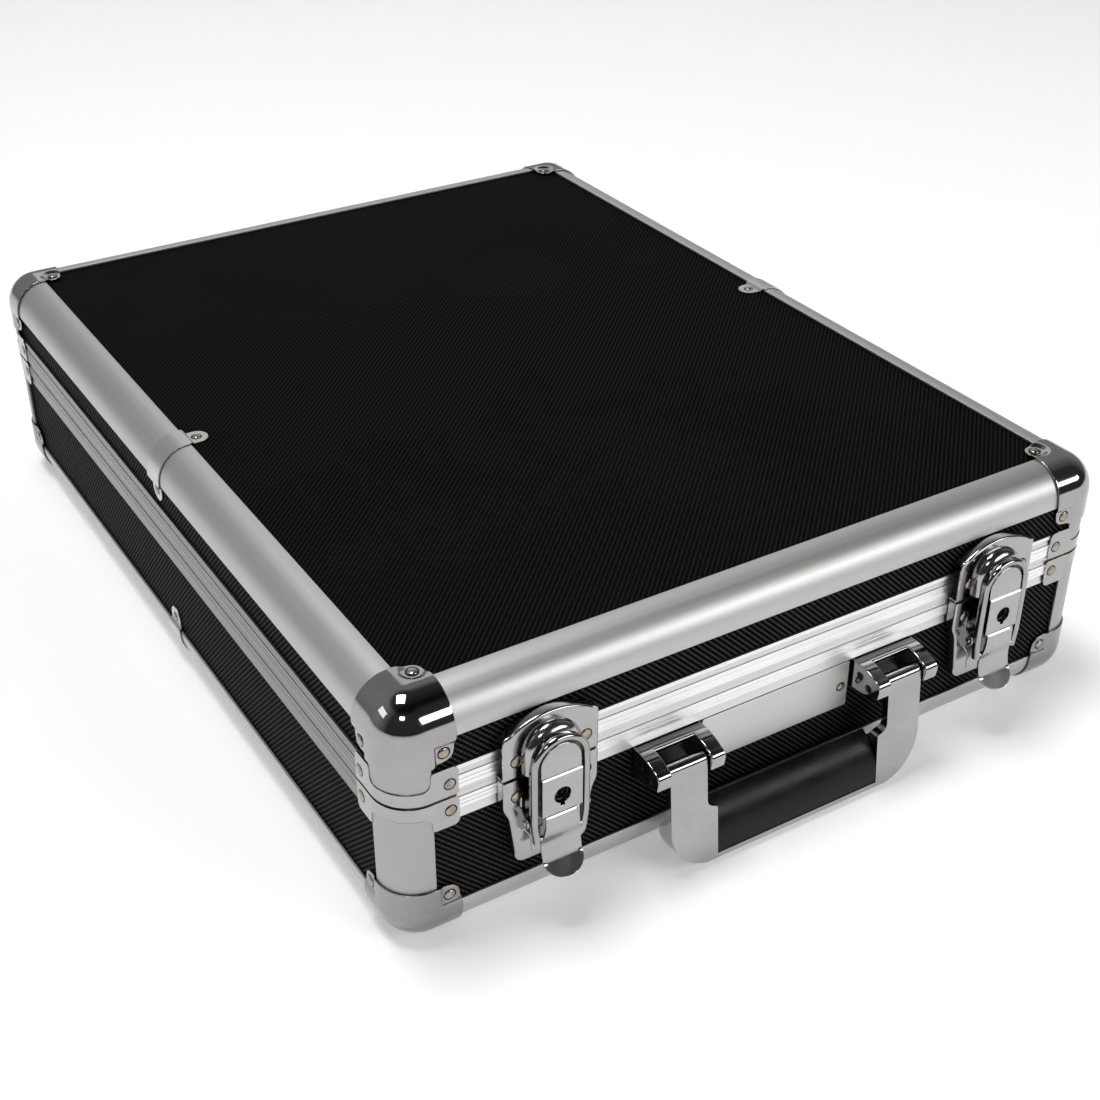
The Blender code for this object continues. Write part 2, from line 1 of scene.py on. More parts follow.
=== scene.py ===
# The looks of a flat boarded case with aluminium edges, chromed corners, two latches and a handle.
# Shapes are given in millimetres. Heights are above the underside of the edge extrusions, and "out" is
# the distance from the front faces of the extrusions. MM turns them into the frame's metres.

import math

import bmesh
import bpy
from mathutils import Matrix, Vector


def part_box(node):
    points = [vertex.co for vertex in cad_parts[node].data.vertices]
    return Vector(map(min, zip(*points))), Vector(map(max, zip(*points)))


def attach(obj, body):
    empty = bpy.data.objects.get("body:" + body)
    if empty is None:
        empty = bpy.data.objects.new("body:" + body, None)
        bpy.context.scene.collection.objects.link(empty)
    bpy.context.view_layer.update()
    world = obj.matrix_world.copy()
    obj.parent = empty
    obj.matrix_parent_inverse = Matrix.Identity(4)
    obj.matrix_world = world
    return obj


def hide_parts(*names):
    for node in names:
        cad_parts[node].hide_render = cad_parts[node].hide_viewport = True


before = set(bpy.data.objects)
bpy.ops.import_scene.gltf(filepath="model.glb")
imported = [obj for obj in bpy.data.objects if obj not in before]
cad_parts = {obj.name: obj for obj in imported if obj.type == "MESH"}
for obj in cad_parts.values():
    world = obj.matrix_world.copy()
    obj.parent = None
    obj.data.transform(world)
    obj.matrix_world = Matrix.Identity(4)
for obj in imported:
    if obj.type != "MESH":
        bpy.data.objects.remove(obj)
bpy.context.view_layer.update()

MM = 0.001
X = Vector((1, 0, 0))
Y = Vector((0, 1, 0))
Z = Vector((0, 0, 1))

# The shell, as the frame has it
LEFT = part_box("base_edge_left")[0].x
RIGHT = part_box("base_edge_right")[1].x
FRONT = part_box("base_edge_front")[0].y
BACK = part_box("base_edge_back")[1].y
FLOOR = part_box("base_edge_front")[0].z
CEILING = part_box("lid_edge_front")[1].z
CENTRE_Y = (FRONT + BACK) / 2
HALF_WIDTH = (RIGHT - LEFT) / 2 / MM
HALF_DEPTH = (BACK - FRONT) / 2 / MM
HEIGHT = (CEILING - FLOOR) / MM

# Sections of the shell
EDGE_LEG = 16.6
EDGE_RADIUS = 15.0
EDGE_WALL = 1.2
CHANNEL = 12.0
BOARD_INSET = 1.5
LINING = 7.0
GAP = 0.3
SHEET = 0.78
WEAVE = 2.65 * MM
# Heights of the rim's raised bands, which the rim's material paints brighter than the recesses between them:
# a painted highlight
RIM_LIT_BANDS = ((61.8, 66.9), (71.2, 77.1), (80.1, 82.0))
SEAM = 69.0
RIM_BOTTOM = 57.3
RIM_TOP = 81.5
HALF_ARC = (EDGE_RADIUS + GAP) * math.pi / 4
CAP_REACH = 27.0
CAP_TAB = 6.8
TAB_SINK = 1.0
TAB_SHEET = 0.85

# Hardware
LATCH_X = 111.0
LATCH_HALF = 20.75
PLATE_OUT = 4.8
LEVER_AXIS = (8.0, 50.0)
COVER_AXIS = (11.0, 42.0)
RIVET_X = 14.9
COVER_CROWN = 75.2
TONGUE_HALF = 8.8
TONGUE_FOLD = 70.3
KEY_HEIGHT = 60.9
HANDLE_AXIS = (12.3, 50.0)
HANDLE_TILT = math.radians(5.5)
HANDLE_HALF = 63.8
POST_INNER = 46.3
BRACKET_X = 55.0
BRACKET_HALF = 16.0
HINGE_X = 105.0
HINGE_OUT = 4.5
HINGE_RADIUS = 3.0

# Studio: places in metres, and the lens in millimetres
FLOOR_HALF = 8.0
LENS = 55.07
VIEW_FROM = (-0.3639, FRONT - 0.4146, FLOOR + 0.4726)
VIEW_ALONG = Vector((0.4412, 0.7171, -0.5396))
MIDDLE = Vector((0, 0, 0.06))

SIDES = (("left", -1), ("right", 1))
CORNERS = (
    ("front_left", -1, -1, 0),
    ("front_right", 1, -1, 1),
    ("back_right", 1, 1, 2),
    ("back_left", -1, 1, 3),
)


# ---- frames ----

def axes(u, v, origin):
    """Matrix whose local X and Y run along u and v, with its origin at the given point."""
    turn = Matrix((u, v, u.cross(v))).transposed().to_4x4()
    return Matrix.Translation(origin) @ turn


def front(x, out=0.0, height=0.0):
    """A world point from millimetres across, out from the front, and up the case."""
    return Vector((x * MM, FRONT - out * MM, FLOOR + height * MM))


def front_frame(x):
    """Local X runs across, local Y is the height and local Z the distance out from the front."""
    return axes(X, Z, front(x))


def side_frame(x):
    """Local X is the distance out from the front and local Y the height."""
    return axes(-Y, Z, front(x))


def back_frame(x):
    """Like front_frame, for the back of the case, with its height measured from the seam."""
    return axes(-X, Z, Vector((x * MM, BACK, FLOOR + SEAM * MM)))


def corners(height=0):
    """Each vertical corner's name and its frame, with the case on the frame's +X and +Y sides."""
    for word, sign_x, sign_y, quarter in CORNERS:
        point = Vector((sign_x * HALF_WIDTH * MM, CENTRE_Y + sign_y * HALF_DEPTH * MM, FLOOR + height * MM))
        yield word, Matrix.Translation(point) @ Matrix.Rotation(quarter * math.pi / 2, 4, "Z")


def plan_frame(height):
    return Matrix.Translation((0, CENTRE_Y, FLOOR + height * MM))


def spin(angle, axis):
    return Matrix.Rotation(math.radians(angle), 4, axis)


def shift(a, b, c):
    return Matrix.Translation((a * MM, b * MM, c * MM))


# ---- outlines, in millimetres ----

def smooth(low, high, value):
    share = min(max((value - low) / (high - low), 0), 1)
    return share * share * (3 - 2 * share)


def spread(start, end, steps):
    """Evenly spaced values, with both ends."""
    return [start + (end - start) * i / steps for i in range(steps + 1)]


def turns(start, end, steps):
    """Evenly spaced angles, given in degrees and returned in radians."""
    return [math.radians(angle) for angle in spread(start, end, steps)]


def arc(centre, radius, start, end, steps=12):
    """Points along a circular arc, with its angles in degrees."""
    x, y = centre
    return [(x + radius * math.cos(t), y + radius * math.sin(t)) for t in turns(start, end, steps)]


def bezier(a, b, c, d, steps):
    """Points along a curve from a to d that starts toward b and comes in from c."""
    points = []
    for i in range(steps + 1):
        t = i / steps
        weights = ((1 - t) ** 3, 3 * t * (1 - t) ** 2, 3 * t * t * (1 - t), t ** 3)
        points.append(tuple(sum(w * p[k] for w, p in zip(weights, (a, b, c, d))) for k in (0, 1)))
    return points


def rounded(half_a, half_b, radius, centre=(0, 0), steps=8):
    """Rounded rectangle."""
    points = []
    for sign_a, sign_b, start in ((1, 1, 0), (-1, 1, 90), (-1, -1, 180), (1, -1, 270)):
        middle = (centre[0] + sign_a * (half_a - radius), centre[1] + sign_b * (half_b - radius))
        points += arc(middle, radius, start, start + 90, steps)
    return points


def mirrored(half):
    """Close a half outline, listed top to bottom on the +a side, running anticlockwise."""
    return [(-a, b) for a, b in half if a > 0] + half[::-1]


def soft_loop(loop, rounds):
    """Cut the corners of a closed outline again and again until it is a smooth curve."""
    for _ in range(rounds):
        cut = []
        for (a, b), (c, d) in zip(loop, loop[1:] + loop[:1]):
            cut += [(0.75 * a + 0.25 * c, 0.75 * b + 0.25 * d), (0.25 * a + 0.75 * c, 0.25 * b + 0.75 * d)]
        loop = cut
    return loop


# ---- meshes ----

def baked(bm, mesh=None):
    """Write an edit mesh to a mesh, and let it go."""
    mesh = mesh or bpy.data.meshes.new("piece")
    bm.to_mesh(mesh)
    bm.free()
    return mesh


def mesh_of(points, faces, tidy=True):
    mesh = bpy.data.meshes.new("piece")
    mesh.from_pydata([tuple(c * MM for c in p) for p in points], [], faces)
    bm = bmesh.new()
    bm.from_mesh(mesh)
    bmesh.ops.remove_doubles(bm, verts=bm.verts, dist=1e-6)
    if tidy:
        bmesh.ops.recalc_face_normals(bm, faces=bm.faces)
    return baked(bm, mesh)


def slab(loop, low, high):
    """A flat outline raised between two levels."""
    count = len(loop)
    points = [(a, b, level) for level in (low, high) for a, b in loop]
    faces = [tuple(range(count))[::-1], tuple(range(count, 2 * count))]
    for i in range(count):
        j = (i + 1) % count
        faces.append((i, j, count + j, count + i))
    return mesh_of(points, faces)


def skin(loops, round_trip=False):
    """Closed skin through loops of equal length, with flat ends unless the last loop joins the first."""
    count = len(loops[0])
    points = [p for loop in loops for p in loop]
    faces = []
    rows = len(loops)
    for r in range(rows if round_trip else rows - 1):
        for i in range(count):
            j = (i + 1) % count
            low, high = r * count, ((r + 1) % rows) * count
            faces.append((low + i, low + j, high + j, high + i))
    if not round_trip:
        faces.append(tuple(range(count))[::-1])
        faces.append(tuple((rows - 1) * count + i for i in range(count)))
    return mesh_of(points, faces)


def lathe(profile, steps):
    """Closed surface of revolution round local Z, through (radius, height) pairs."""
    circle = turns(0, 360, steps)[:-1]
    return skin([[(radius * math.cos(t), radius * math.sin(t), height) for t in circle]
                 for radius, height in profile])


def rod(radius, half, ease, lead=0.3, steps=18):
    """A pin along local Z, with its ends drawn in by ease over a length of lead."""
    ends = [(0.02, -half), (radius - ease, -half), (radius, -half + lead)]
    return lathe(ends + [(r, -height) for r, height in ends[::-1]], steps)


def net(rows):
    """Open sheet through rows of points, facing the side its rows and columns turn to."""
    count = len(rows[0])
    points = [p for row in rows for p in row]
    faces = []
    for r in range(len(rows) - 1):
        for i in range(count - 1):
            low, high = r * count + i, (r + 1) * count + i
            faces.append((low, high, high + 1, low + 1))
    return mesh_of(points, faces, tidy=False)


def pressed(loop, low, high, open_edge):
    """Front face of a pressed plate and its turned-back sides, but for one edge, as an open sheet."""
    count = len(loop)
    points = [(a, b, high) for a, b in loop] + [(a, b, low) for a, b in loop]
    faces = [tuple(range(count))]
    for i in range(count):
        if i != open_edge:
            j = (i + 1) % count
            faces.append((i, count + i, count + j, j))
    return mesh_of(points, faces, tidy=False)


def merged(parts):
    """One mesh from several (mesh, matrix) pairs."""
    bm = bmesh.new()
    for mesh, matrix in parts:
        start = len(bm.verts)
        bm.from_mesh(mesh)
        bm.verts.ensure_lookup_table()
        bmesh.ops.transform(bm, matrix=matrix, verts=bm.verts[start:])
    return baked(bm)


def added(name, data):
    """A new object in the scene."""
    item = bpy.data.objects.new(name, data)
    bpy.context.scene.collection.objects.link(item)
    return item


def combined(mesh, tool, operation="DIFFERENCE"):
    """A mesh cut by another one, or kept inside it."""
    items = [added("step", part) for part in (mesh, tool)]
    step = items[0].modifiers.new("step", "BOOLEAN")
    step.operation = operation
    step.solver = "EXACT"
    step.object = items[1]
    changed = items[0].evaluated_get(bpy.context.evaluated_depsgraph_get())
    result = bpy.data.meshes.new_from_object(changed)
    for item in items:
        bpy.data.objects.remove(item)
    return result


def moved(mesh, matrix):
    mesh.transform(matrix)
    return mesh


# ---- materials ----

class Graph:
    """A material with a Principled shader, and short ways to add nodes to it."""

    def __init__(self, name, **constants):
        self.material = bpy.data.materials.new(name)
        self.material.use_nodes = True
        self.tree = self.material.node_tree
        self.shader = self.tree.nodes["Principled BSDF"]
        for key, value in constants.items():
            self.feed(self.shader.inputs[key.replace("_", " ")], value)

    def feed(self, socket, value):
        if isinstance(value, bpy.types.NodeSocket):
            self.tree.links.new(value, socket)
        else:
            socket.default_value = value

    def add(self, kind, inputs, output=0, **settings):
        node = self.tree.nodes.new(kind)
        for key, value in settings.items():
            setattr(node, key, value)
        for key, value in inputs.items():
            self.feed(node.inputs[key], value)
        return node.outputs[output]

    def place(self, scale=(1, 1, 1), angle=(0, 0, 0)):
        """Object coordinates in metres, turned and stretched."""
        where = self.add("ShaderNodeTexCoord", {}, "Object")
        turn = [math.radians(a) for a in angle]
        return self.add("ShaderNodeMapping", {"Vector": where, "Scale": scale, "Rotation": turn})

    def noise(self, vector, scale, detail=3.0, roughness=0.55):
        inputs = {"Vector": vector, "Scale": scale, "Detail": detail, "Roughness": roughness}
        return self.add("ShaderNodeTexNoise", inputs)

    def maths(self, operation, a, b=0.0):
        return self.add("ShaderNodeMath", {0: a, 1: b}, operation=operation)

    def span(self, value, low, high, start=0.3, end=0.7):
        """Spread a value from start..end over low..high."""
        inputs = {"Value": value, "From Min": start, "From Max": end, "To Min": low, "To Max": high}
        return self.add("ShaderNodeMapRange", inputs, interpolation_type="SMOOTHSTEP")

    def mix(self, factor, first, second):
        node = self.tree.nodes.new("ShaderNodeMix")
        node.data_type = "RGBA"
        for socket, value in ((node.inputs[0], factor), (node.inputs[6], first), (node.inputs[7], second)):
            self.feed(socket, value)
        return node.outputs[2]

    def bump(self, height, distance, strength=1.0):
        normal = self.add("ShaderNodeBump", {"Height": height, "Distance": distance, "Strength": strength})
        self.feed(self.shader.inputs["Normal"], normal)

    def finish(self, colour, roughness):
        self.feed(self.shader.inputs["Base Color"], colour)
        self.feed(self.shader.inputs["Roughness"], roughness)
        return self.material


def grey(value, warm=0.0):
    return (value * (1 + warm), value, value * (1 - warm), 1)


def drawn_aluminium(name, stretch, tone, rough):
    """Satin anodised extrusion, with draw lines along the axis that stretch leaves short."""
    g = Graph(name, Metallic=1.0)
    lines = g.noise(g.place(stretch), 1.0, 4.0, 0.6)
    cloud = g.noise(g.place(), 9.0, 3.0)
    grain = g.noise(g.place(), 2600.0, 2.0)
    shade = g.mix(g.span(lines, 0.0, 1.0), grey(tone * 0.97), grey(tone * 1.01))
    shade = g.mix(g.span(cloud, 0.0, 0.5), shade, grey(tone * 0.96, 0.006))
    body = g.maths("ADD", g.span(lines, rough - 0.015, rough + 0.02), g.span(grain, -0.01, 0.02))
    g.bump(g.maths("ADD", g.maths("MULTIPLY", lines, 0.7), g.maths("MULTIPLY", grain, 0.3)), 0.000001)
    return g.finish(shade, body)


def rim_look():
    """Closing rims: satin and painted much darker at the left and right walls, a painted shade, and at the
    front and back raised bands of fine rolled lines painted brighter than the recesses between them, a
    painted highlight.
    """
    g = Graph("rim_aluminium", Metallic=1.0)
    where = g.add("ShaderNodeSeparateXYZ", {"Vector": g.place()})
    height = g.maths("MULTIPLY", where.node.outputs["Z"], 1000.0)
    # Painted highlight: the raised bands are painted brighter than the recesses between them, which read as
    # painted shade
    band_highlight = 0.0
    for low, high in RIM_LIT_BANDS:
        above = g.span(height, 0.0, 1.0, low - 0.1, low + 0.1)
        below = g.span(height, 1.0, 0.0, high - 0.1, high + 0.1)
        band_highlight = g.maths("ADD", band_highlight, g.maths("MULTIPLY", above, below))
    ripple = g.maths("SINE", g.maths("MULTIPLY", height, 2 * math.pi / 0.85))
    fine = g.span(ripple, 0.0, 1.0, 0.1, 0.9)
    cloud = g.noise(g.place(), 12.0, 3.0)
    across = g.maths("MULTIPLY", g.maths("ABSOLUTE", where.node.outputs["X"]), 1000.0)
    # Painted shade: the rim's left and right walls are painted much darker than its front and back
    side = g.span(across, 0.0, 1.0, HALF_WIDTH - 8, HALF_WIDTH - 5)
    ends = g.mix(band_highlight, g.mix(cloud, grey(0.64), grey(0.70)), g.mix(fine, grey(0.92), grey(0.80)))
    shade = g.mix(side, ends, g.mix(cloud, grey(0.26), grey(0.29)))
    g.bump(g.maths("MULTIPLY", fine, g.span(side, 1.0, 0.0, 0.0, 1.0)), 0.00001, 0.4)
    return g.finish(shade, g.span(g.noise(g.place((8, 8, 900)), 1.0, 2.0), 0.34, 0.38))


def plating(name, tone, rough, wave=0.000012, specks=0.0):
    """Chromium plate over pressed or cast metal, with faint waves, smudges and hairlines."""
    g = Graph(name, Metallic=1.0)
    waves = g.noise(g.place(), 130.0, 2.0, 0.4)
    smudge = g.noise(g.place(), 55.0, 4.0, 0.65)
    hair = g.noise(g.place((2200, 60, 300), (20, 35, 50)), 1.0, 2.0)
    shade = g.mix(g.span(smudge, 0.0, 1.0), grey(tone, -0.008), grey(tone * 0.9, 0.012))
    smears = g.span(smudge, rough, rough + 0.06, 0.42, 0.75)
    body = g.maths("ADD", smears, g.span(hair, 0.0, 0.025, 0.5, 0.8))
    g.bump(g.maths("ADD", waves, g.maths("MULTIPLY", hair, specks)), wave)
    return g.finish(shade, body)


def laminate(name, flat):
    """Near-black textured board facing: rows of small raised diamonds."""
    g = Graph(name)
    g.shader.inputs["Specular IOR Level"].default_value = 0.006
    where = g.add("ShaderNodeSeparateXYZ", {"Vector": g.place()})
    split = where.node
    if flat:
        across, up = split.outputs["X"], split.outputs["Y"]
    else:
        across, up = g.maths("ADD", split.outputs["X"], split.outputs["Y"]), split.outputs["Z"]
    pitch = 2 * math.pi / WEAVE
    first, second = ("SUBTRACT", "ADD") if flat else ("ADD", "SUBTRACT")
    rows = [g.maths("SINE", g.maths("MULTIPLY", g.maths(way, across, up), pitch)) for way in (first, second)]
    stripe = g.span(rows[0], 0.0, 1.0, -0.3, 0.95)
    cells = g.maths("MULTIPLY", stripe, g.span(rows[1], 0.55, 1.0, -0.8, 0.7))
    fleck = g.noise(g.place(), 1500.0, 2.0)
    cloud = g.noise(g.place(), 14.0, 3.0)
    dark = g.mix(g.span(cloud, 0.0, 1.0), (0.0024, 0.0020, 0.0018, 1), (0.0036, 0.0031, 0.0028, 1))
    # Painted light: the walls' copy of the facing gets pale cells almost four times brighter than the flat
    # panels' copy, lit and shaded copies of one facing
    level = 0.012 if flat else 0.045
    pale = g.mix(g.span(fleck, 0.0, 1.0), grey(level * 0.8, 0.08), grey(level * 1.25, 0.08))
    rough = g.maths("ADD", g.span(cells, 0.52, 0.40, 0.0, 1.0), g.span(fleck, -0.03, 0.05))
    g.bump(g.maths("ADD", cells, g.maths("MULTIPLY", fleck, 0.25)), 0.00012, 0.8)
    return g.finish(g.mix(cells, dark, pale), rough)


def foam_look():
    g = Graph("cut_foam")
    g.shader.inputs["Specular IOR Level"].default_value = 0.2
    cells = g.add("ShaderNodeTexVoronoi", {"Vector": g.place(), "Scale": 900.0})
    pores = g.noise(g.place(), 420.0, 5.0, 0.7)
    height = g.maths("ADD", cells, pores)
    shade = g.mix(g.span(pores, 0.0, 1.0), (0.018, 0.018, 0.020, 1), (0.052, 0.052, 0.056, 1))
    g.bump(height, 0.0005, 0.9)
    return g.finish(shade, g.span(pores, 0.9, 1.0))


def grip_look():
    g = Graph("grip_plastic")
    g.shader.inputs["Specular IOR Level"].default_value = 0.17
    pebble = g.noise(g.place(), 1400.0, 3.0, 0.6)
    wear = g.noise(g.place(), 60.0, 4.0, 0.6)
    shade = g.mix(g.span(wear, 0.0, 1.0), (0.0035, 0.0032, 0.0032, 1), (0.007, 0.0065, 0.0065, 1))
    rough = g.maths("ADD", g.span(pebble, 0.28, 0.38), g.span(wear, -0.02, 0.06))
    g.bump(pebble, 0.00003, 0.7)
    return g.finish(shade, rough)


def rivet_look():
    g = Graph("rivet_nickel", Metallic=1.0)
    stain = g.noise(g.place(), 420.0, 3.0)
    shade = g.mix(g.span(stain, 0.0, 1.0), (0.40, 0.35, 0.29, 1), (0.27, 0.23, 0.19, 1))
    g.bump(stain, 0.00003)
    return g.finish(shade, g.span(stain, 0.16, 0.30))


def plate_look():
    """Brushed sheet, with its brush lines across the plate."""
    g = Graph("nameplate_metal", Metallic=1.0)
    lines = g.noise(g.place((25, 2200, 2200)), 1.0, 3.0)
    cloud = g.noise(g.place(), 30.0, 2.0)
    shade = g.mix(g.span(lines, 0.0, 1.0), grey(0.61), grey(0.65))
    shade = g.mix(g.span(cloud, 0.0, 0.4), shade, grey(0.62))
    g.bump(lines, 0.000002)
    return g.finish(shade, g.span(lines, 0.40, 0.46))


def dark_metal(name, tone, rough):
    g = Graph(name, Metallic=0.9)
    stain = g.noise(g.place(), 500.0, 3.0)
    shade = g.mix(g.span(stain, 0.0, 1.0), grey(tone * 0.7, 0.05), grey(tone * 1.3, 0.08))
    g.bump(stain, 0.00002)
    return g.finish(shade, g.span(stain, rough, rough + 0.12))


# Each look is a material and the record's slot that it stands for
LOOKS = {
    "edge": (drawn_aluminium("edge_aluminium", (900, 900, 5), 0.54, 0.47), "edge_aluminium"),
    # The posts take a darker copy of the edges' drawn aluminium: painted shade on the upright posts
    "post": (drawn_aluminium("post_aluminium_painted_darker", (900, 900, 5), 0.42, 0.44), "edge_aluminium"),
    "rim": (rim_look(), "rim_aluminium"),
    "chrome": (plating("mirror_chrome", 0.38, 0.04), "chrome"),
    "cast_chrome": (plating("cast_chrome", 0.40, 0.08, 0.00002), "chrome"),
    "pressed_chrome": (plating("pressed_chrome", 0.42, 0.13, 0.000012, 0.1), "chrome"),
    "shaded_chrome": (dark_metal("shaded_chrome", 0.10, 0.2), "chrome"),
    "clip_chrome": (plating("clip_chrome", 0.60, 0.36, 0.000012, 0.05), "chrome"),
    "satin_chrome": (plating("satin_chrome", 0.31, 0.24, 0.000012, 0.05), "chrome"),
    "rivet": (rivet_look(), "chrome"),
    "lock": (dark_metal("lock_metal", 0.02, 0.3), "lock_metal"),
    "plate": (plate_look(), "nameplate_metal"),
    "grip": (grip_look(), "grip_plastic"),
    "foam": (foam_look(), "foam"),
}


# ---- pieces ----

def piece(name, mesh, matrix, body, look, *stands_for):
    item = added(name, mesh)
    item.matrix_world = matrix
    material, slot = LOOKS[look]
    mesh.materials.clear()
    mesh.materials.append(material)
    mesh.shade_smooth()
    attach(item, body)
    if stands_for:
        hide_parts(*stands_for)
    return item


def soften(item, width, segments=3, angle=32):
    """Round the sharp edges, and keep the large faces flat in the shading."""
    step = item.modifiers.new("edges", "BEVEL")
    step.width = width * MM
    step.segments = segments
    step.limit_method = "ANGLE"
    step.angle_limit = math.radians(angle)
    weigh(item)


def weigh(item):
    step = item.modifiers.new("normals", "WEIGHTED_NORMAL")
    step.keep_sharp = True
    step.weight = 80


def thicken(item, thickness, outward=True):
    step = item.modifiers.new("sheet", "SOLIDIFY")
    step.thickness = thickness * MM
    step.offset = 1 if outward else -1
    step.use_even_offset = True


def press(item):
    """Give a pressed plate its round folds, its thickness and eased rims."""
    soften(item, 1.0, 4)
    thicken(item, 0.8, False)
    soften(item, 0.22, 2, 60)


def crisp(item, angle=35):
    item.data.set_sharp_from_angle(angle=math.radians(angle))
    return item


def rivets(name, places, body, radius=2.25, height=0.95, look="rivet"):
    """Domed rivet heads, each on a matrix whose local Z points out of the surface, and each in a near-black
    ring that paints the shadow line round the head.
    """
    dome = [(radius * math.cos(t), height * math.sin(t)) for t in turns(0, 90, 7)[:-1]]
    profile = [(0.02, -0.6), (radius, -0.6)] + dome + [(0.02, height)]
    head = lathe(profile, 24)
    # Painted shadow: a near-black ring under each head
    seat = [(0.02, -0.4), (radius + 0.4, -0.4), (radius + 0.4, 0.05), (radius, 0.08), (0.02, 0.08)]
    for label, shape, surface in ((f"{name}_shadow_rings", lathe(seat, 24), "lock"), (name, head, look)):
        crisp(piece(label, merged([(shape, place) for place in places]), Matrix(), body, surface), 50)


def beside(matrix, along, out, level):
    """Places for rivets on the two faces next to an edge, as far along each of them."""
    first, second = shift(along, out, level) @ spin(90, "X"), shift(out, along, level) @ spin(-90, "Y")
    return [matrix @ first, matrix @ second]


def carried_boards():
    """The flat boards keep their frame shape and get the facing."""
    walls, panels = laminate("laminate_wall", False), laminate("laminate_panel", True)
    for node, material in (("base_wall_frame", walls), ("lid_wall_frame", walls),
                           ("base_bottom_panel", panels), ("lid_top_panel", panels)):
        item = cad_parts[node]
        item.data.materials.clear()
        item.data.materials.append(material)


# ---- extrusions ----

def edge_section():
    leg, wall, floor = EDGE_LEG, EDGE_WALL, CHANNEL
    inner = LINING - wall
    outside = [(leg, 0)] + arc((EDGE_RADIUS, EDGE_RADIUS), EDGE_RADIUS, 270, 180, 24) + [(0, leg)]
    inside = [(wall, leg), (wall, floor), (inner, floor), (inner, leg), (LINING, leg), (LINING, LINING),
              (leg, LINING), (leg, inner), (floor, inner), (floor, wall), (leg, wall)]
    return outside + inside


def edges(prefix, body, upward):
    for word, side in (("front", -Y), ("back", Y), ("left", -X), ("right", X)):
        half = (HALF_WIDTH if abs(side.y) > 0 else HALF_DEPTH) - EDGE_LEG - GAP
        level = FLOOR if upward.z > 0 else CEILING
        origin = Vector((side.x * HALF_WIDTH * MM, CENTRE_Y + side.y * HALF_DEPTH * MM, level))
        name = f"{prefix}_edge_{word}"
        item = piece(f"{name}_extrusion", slab(edge_section(), -half, half), axes(-side, upward, origin),
                     body, "edge", name)
        soften(item, 0.25, 2, 40)


def bent_section(reach, inner, outer, steps=20):
    middle = (EDGE_RADIUS, EDGE_RADIUS)
    outside = [(reach, EDGE_RADIUS - outer)] + arc(middle, outer, 270, 180, steps)
    outside += [(EDGE_RADIUS - outer, reach)]
    inside = [(EDGE_RADIUS - inner, reach)] + arc(middle, inner, 180, 270, steps)
    return outside + inside + [(reach, EDGE_RADIUS - inner)]


def posts(prefix, body, low, high, replace):
    """Corner posts, which stand a little proud and run into the cut-outs of the rim's corner plates."""
    section = bent_section(EDGE_LEG, EDGE_RADIUS - EDGE_WALL, EDGE_RADIUS + 0.2)
    for word, matrix in corners():
        name = f"{prefix}_post_{word}"
        nodes = [name] if replace else []
        item = piece(f"{name}_extrusion", slab(section, low, high), matrix, body, "post", *nodes)
        soften(item, 0.25, 2, 40)


def relief(bands):
    """Outer face of a rim: bands of (low, high, depth at the low end, depth at the high end, grooves)."""
    points = []
    for low, high, low_depth, high_depth, grooves in bands:
        points.append((high_depth, high))
        for i in range(grooves):
            middle = high + (low - high) * (i + 1) / (grooves + 1)
            points += [(high_depth, middle + 0.24), (high_depth + 0.2, middle + 0.06),
                       (high_depth + 0.2, middle - 0.06), (high_depth, middle - 0.24)]
        points.append((low_depth, low))
    return points


def plan_loop(inset):
    return rounded(HALF_WIDTH - inset, HALF_DEPTH - inset, EDGE_RADIUS - inset)


def rims():
    """Closing rims: ridged outside, with a tongue on the base that stands into the lid."""
    inner, wall = LINING - EDGE_WALL, EDGE_WALL
    lid_face = relief([(80.1, RIM_TOP, 0.0, 0.35, 0), (77.3, 79.8, 0.35, 0.9, 0), (71.3, 77.1, 0.0, 0.0, 2),
                       (SEAM + GAP, 71.1, 0.25, 0.7, 0)])
    lid = lid_face + [(wall, SEAM + GAP), (wall, 72.2), (inner, 72.2), (inner, SEAM + GAP),
                      (LINING, SEAM + GAP), (LINING, 78), (inner, 78), (inner, 74), (wall, 74),
                      (wall, RIM_TOP)]
    base_face = relief([(67.0, SEAM - GAP, 0.4, 0.8, 0), (61.8, 66.8, 0.0, 0.0, 2),
                        (RIM_BOTTOM, 61.5, 0.25, 0.95, 0)])
    base = base_face + [(wall, RIM_BOTTOM), (wall, 66.9), (inner, 66.9), (inner, 60), (LINING, 60),
                        (LINING, SEAM - GAP), (4.2, SEAM - GAP), (4.2, SEAM + 2), (3.2, SEAM + 2),
                        (3.2, SEAM - GAP)]
    for name, body, section in (("lid_rim", "lid", lid), ("base_rim", "base", base)):
        loops = [[(a, b, height) for a, b in plan_loop(inset)] for inset, height in section]
        item = piece(f"{name}_extrusion", skin(loops, round_trip=True), plan_frame(0), body, "rim",
                     f"{name}_frame")
        crisp(item, 25)


# ---- pressed corners, plates and straps ----

def cap_reach(angle):
    """How far the cap's flat part reaches at an angle, in degrees, between its two straight edges."""
    return CAP_REACH - EDGE_RADIUS + 1.75 * smooth(15, 45, min(angle, 90 - angle))


def dish(a, b):
    """Depth of the round dish that brings the cap's flat down to the top panel's rivet."""
    far = math.hypot(a - CAP_TAB, b - CAP_TAB)
    bowl = max(1 - smooth(3.6, 6.4, far), smooth(2.0, 6.0, min(a, b)))
    return TAB_SINK * bowl


def notch(a, b):
    """Depth of the square-cornered step round the rivet on the cap's side faces."""
    pad = max(abs(a - CAP_TAB), abs(b - CAP_TAB))
    return TAB_SINK * smooth(1.8, 4.2, min(a, b)) - 0.2 * (1 - smooth(2.9, 3.6, pad))


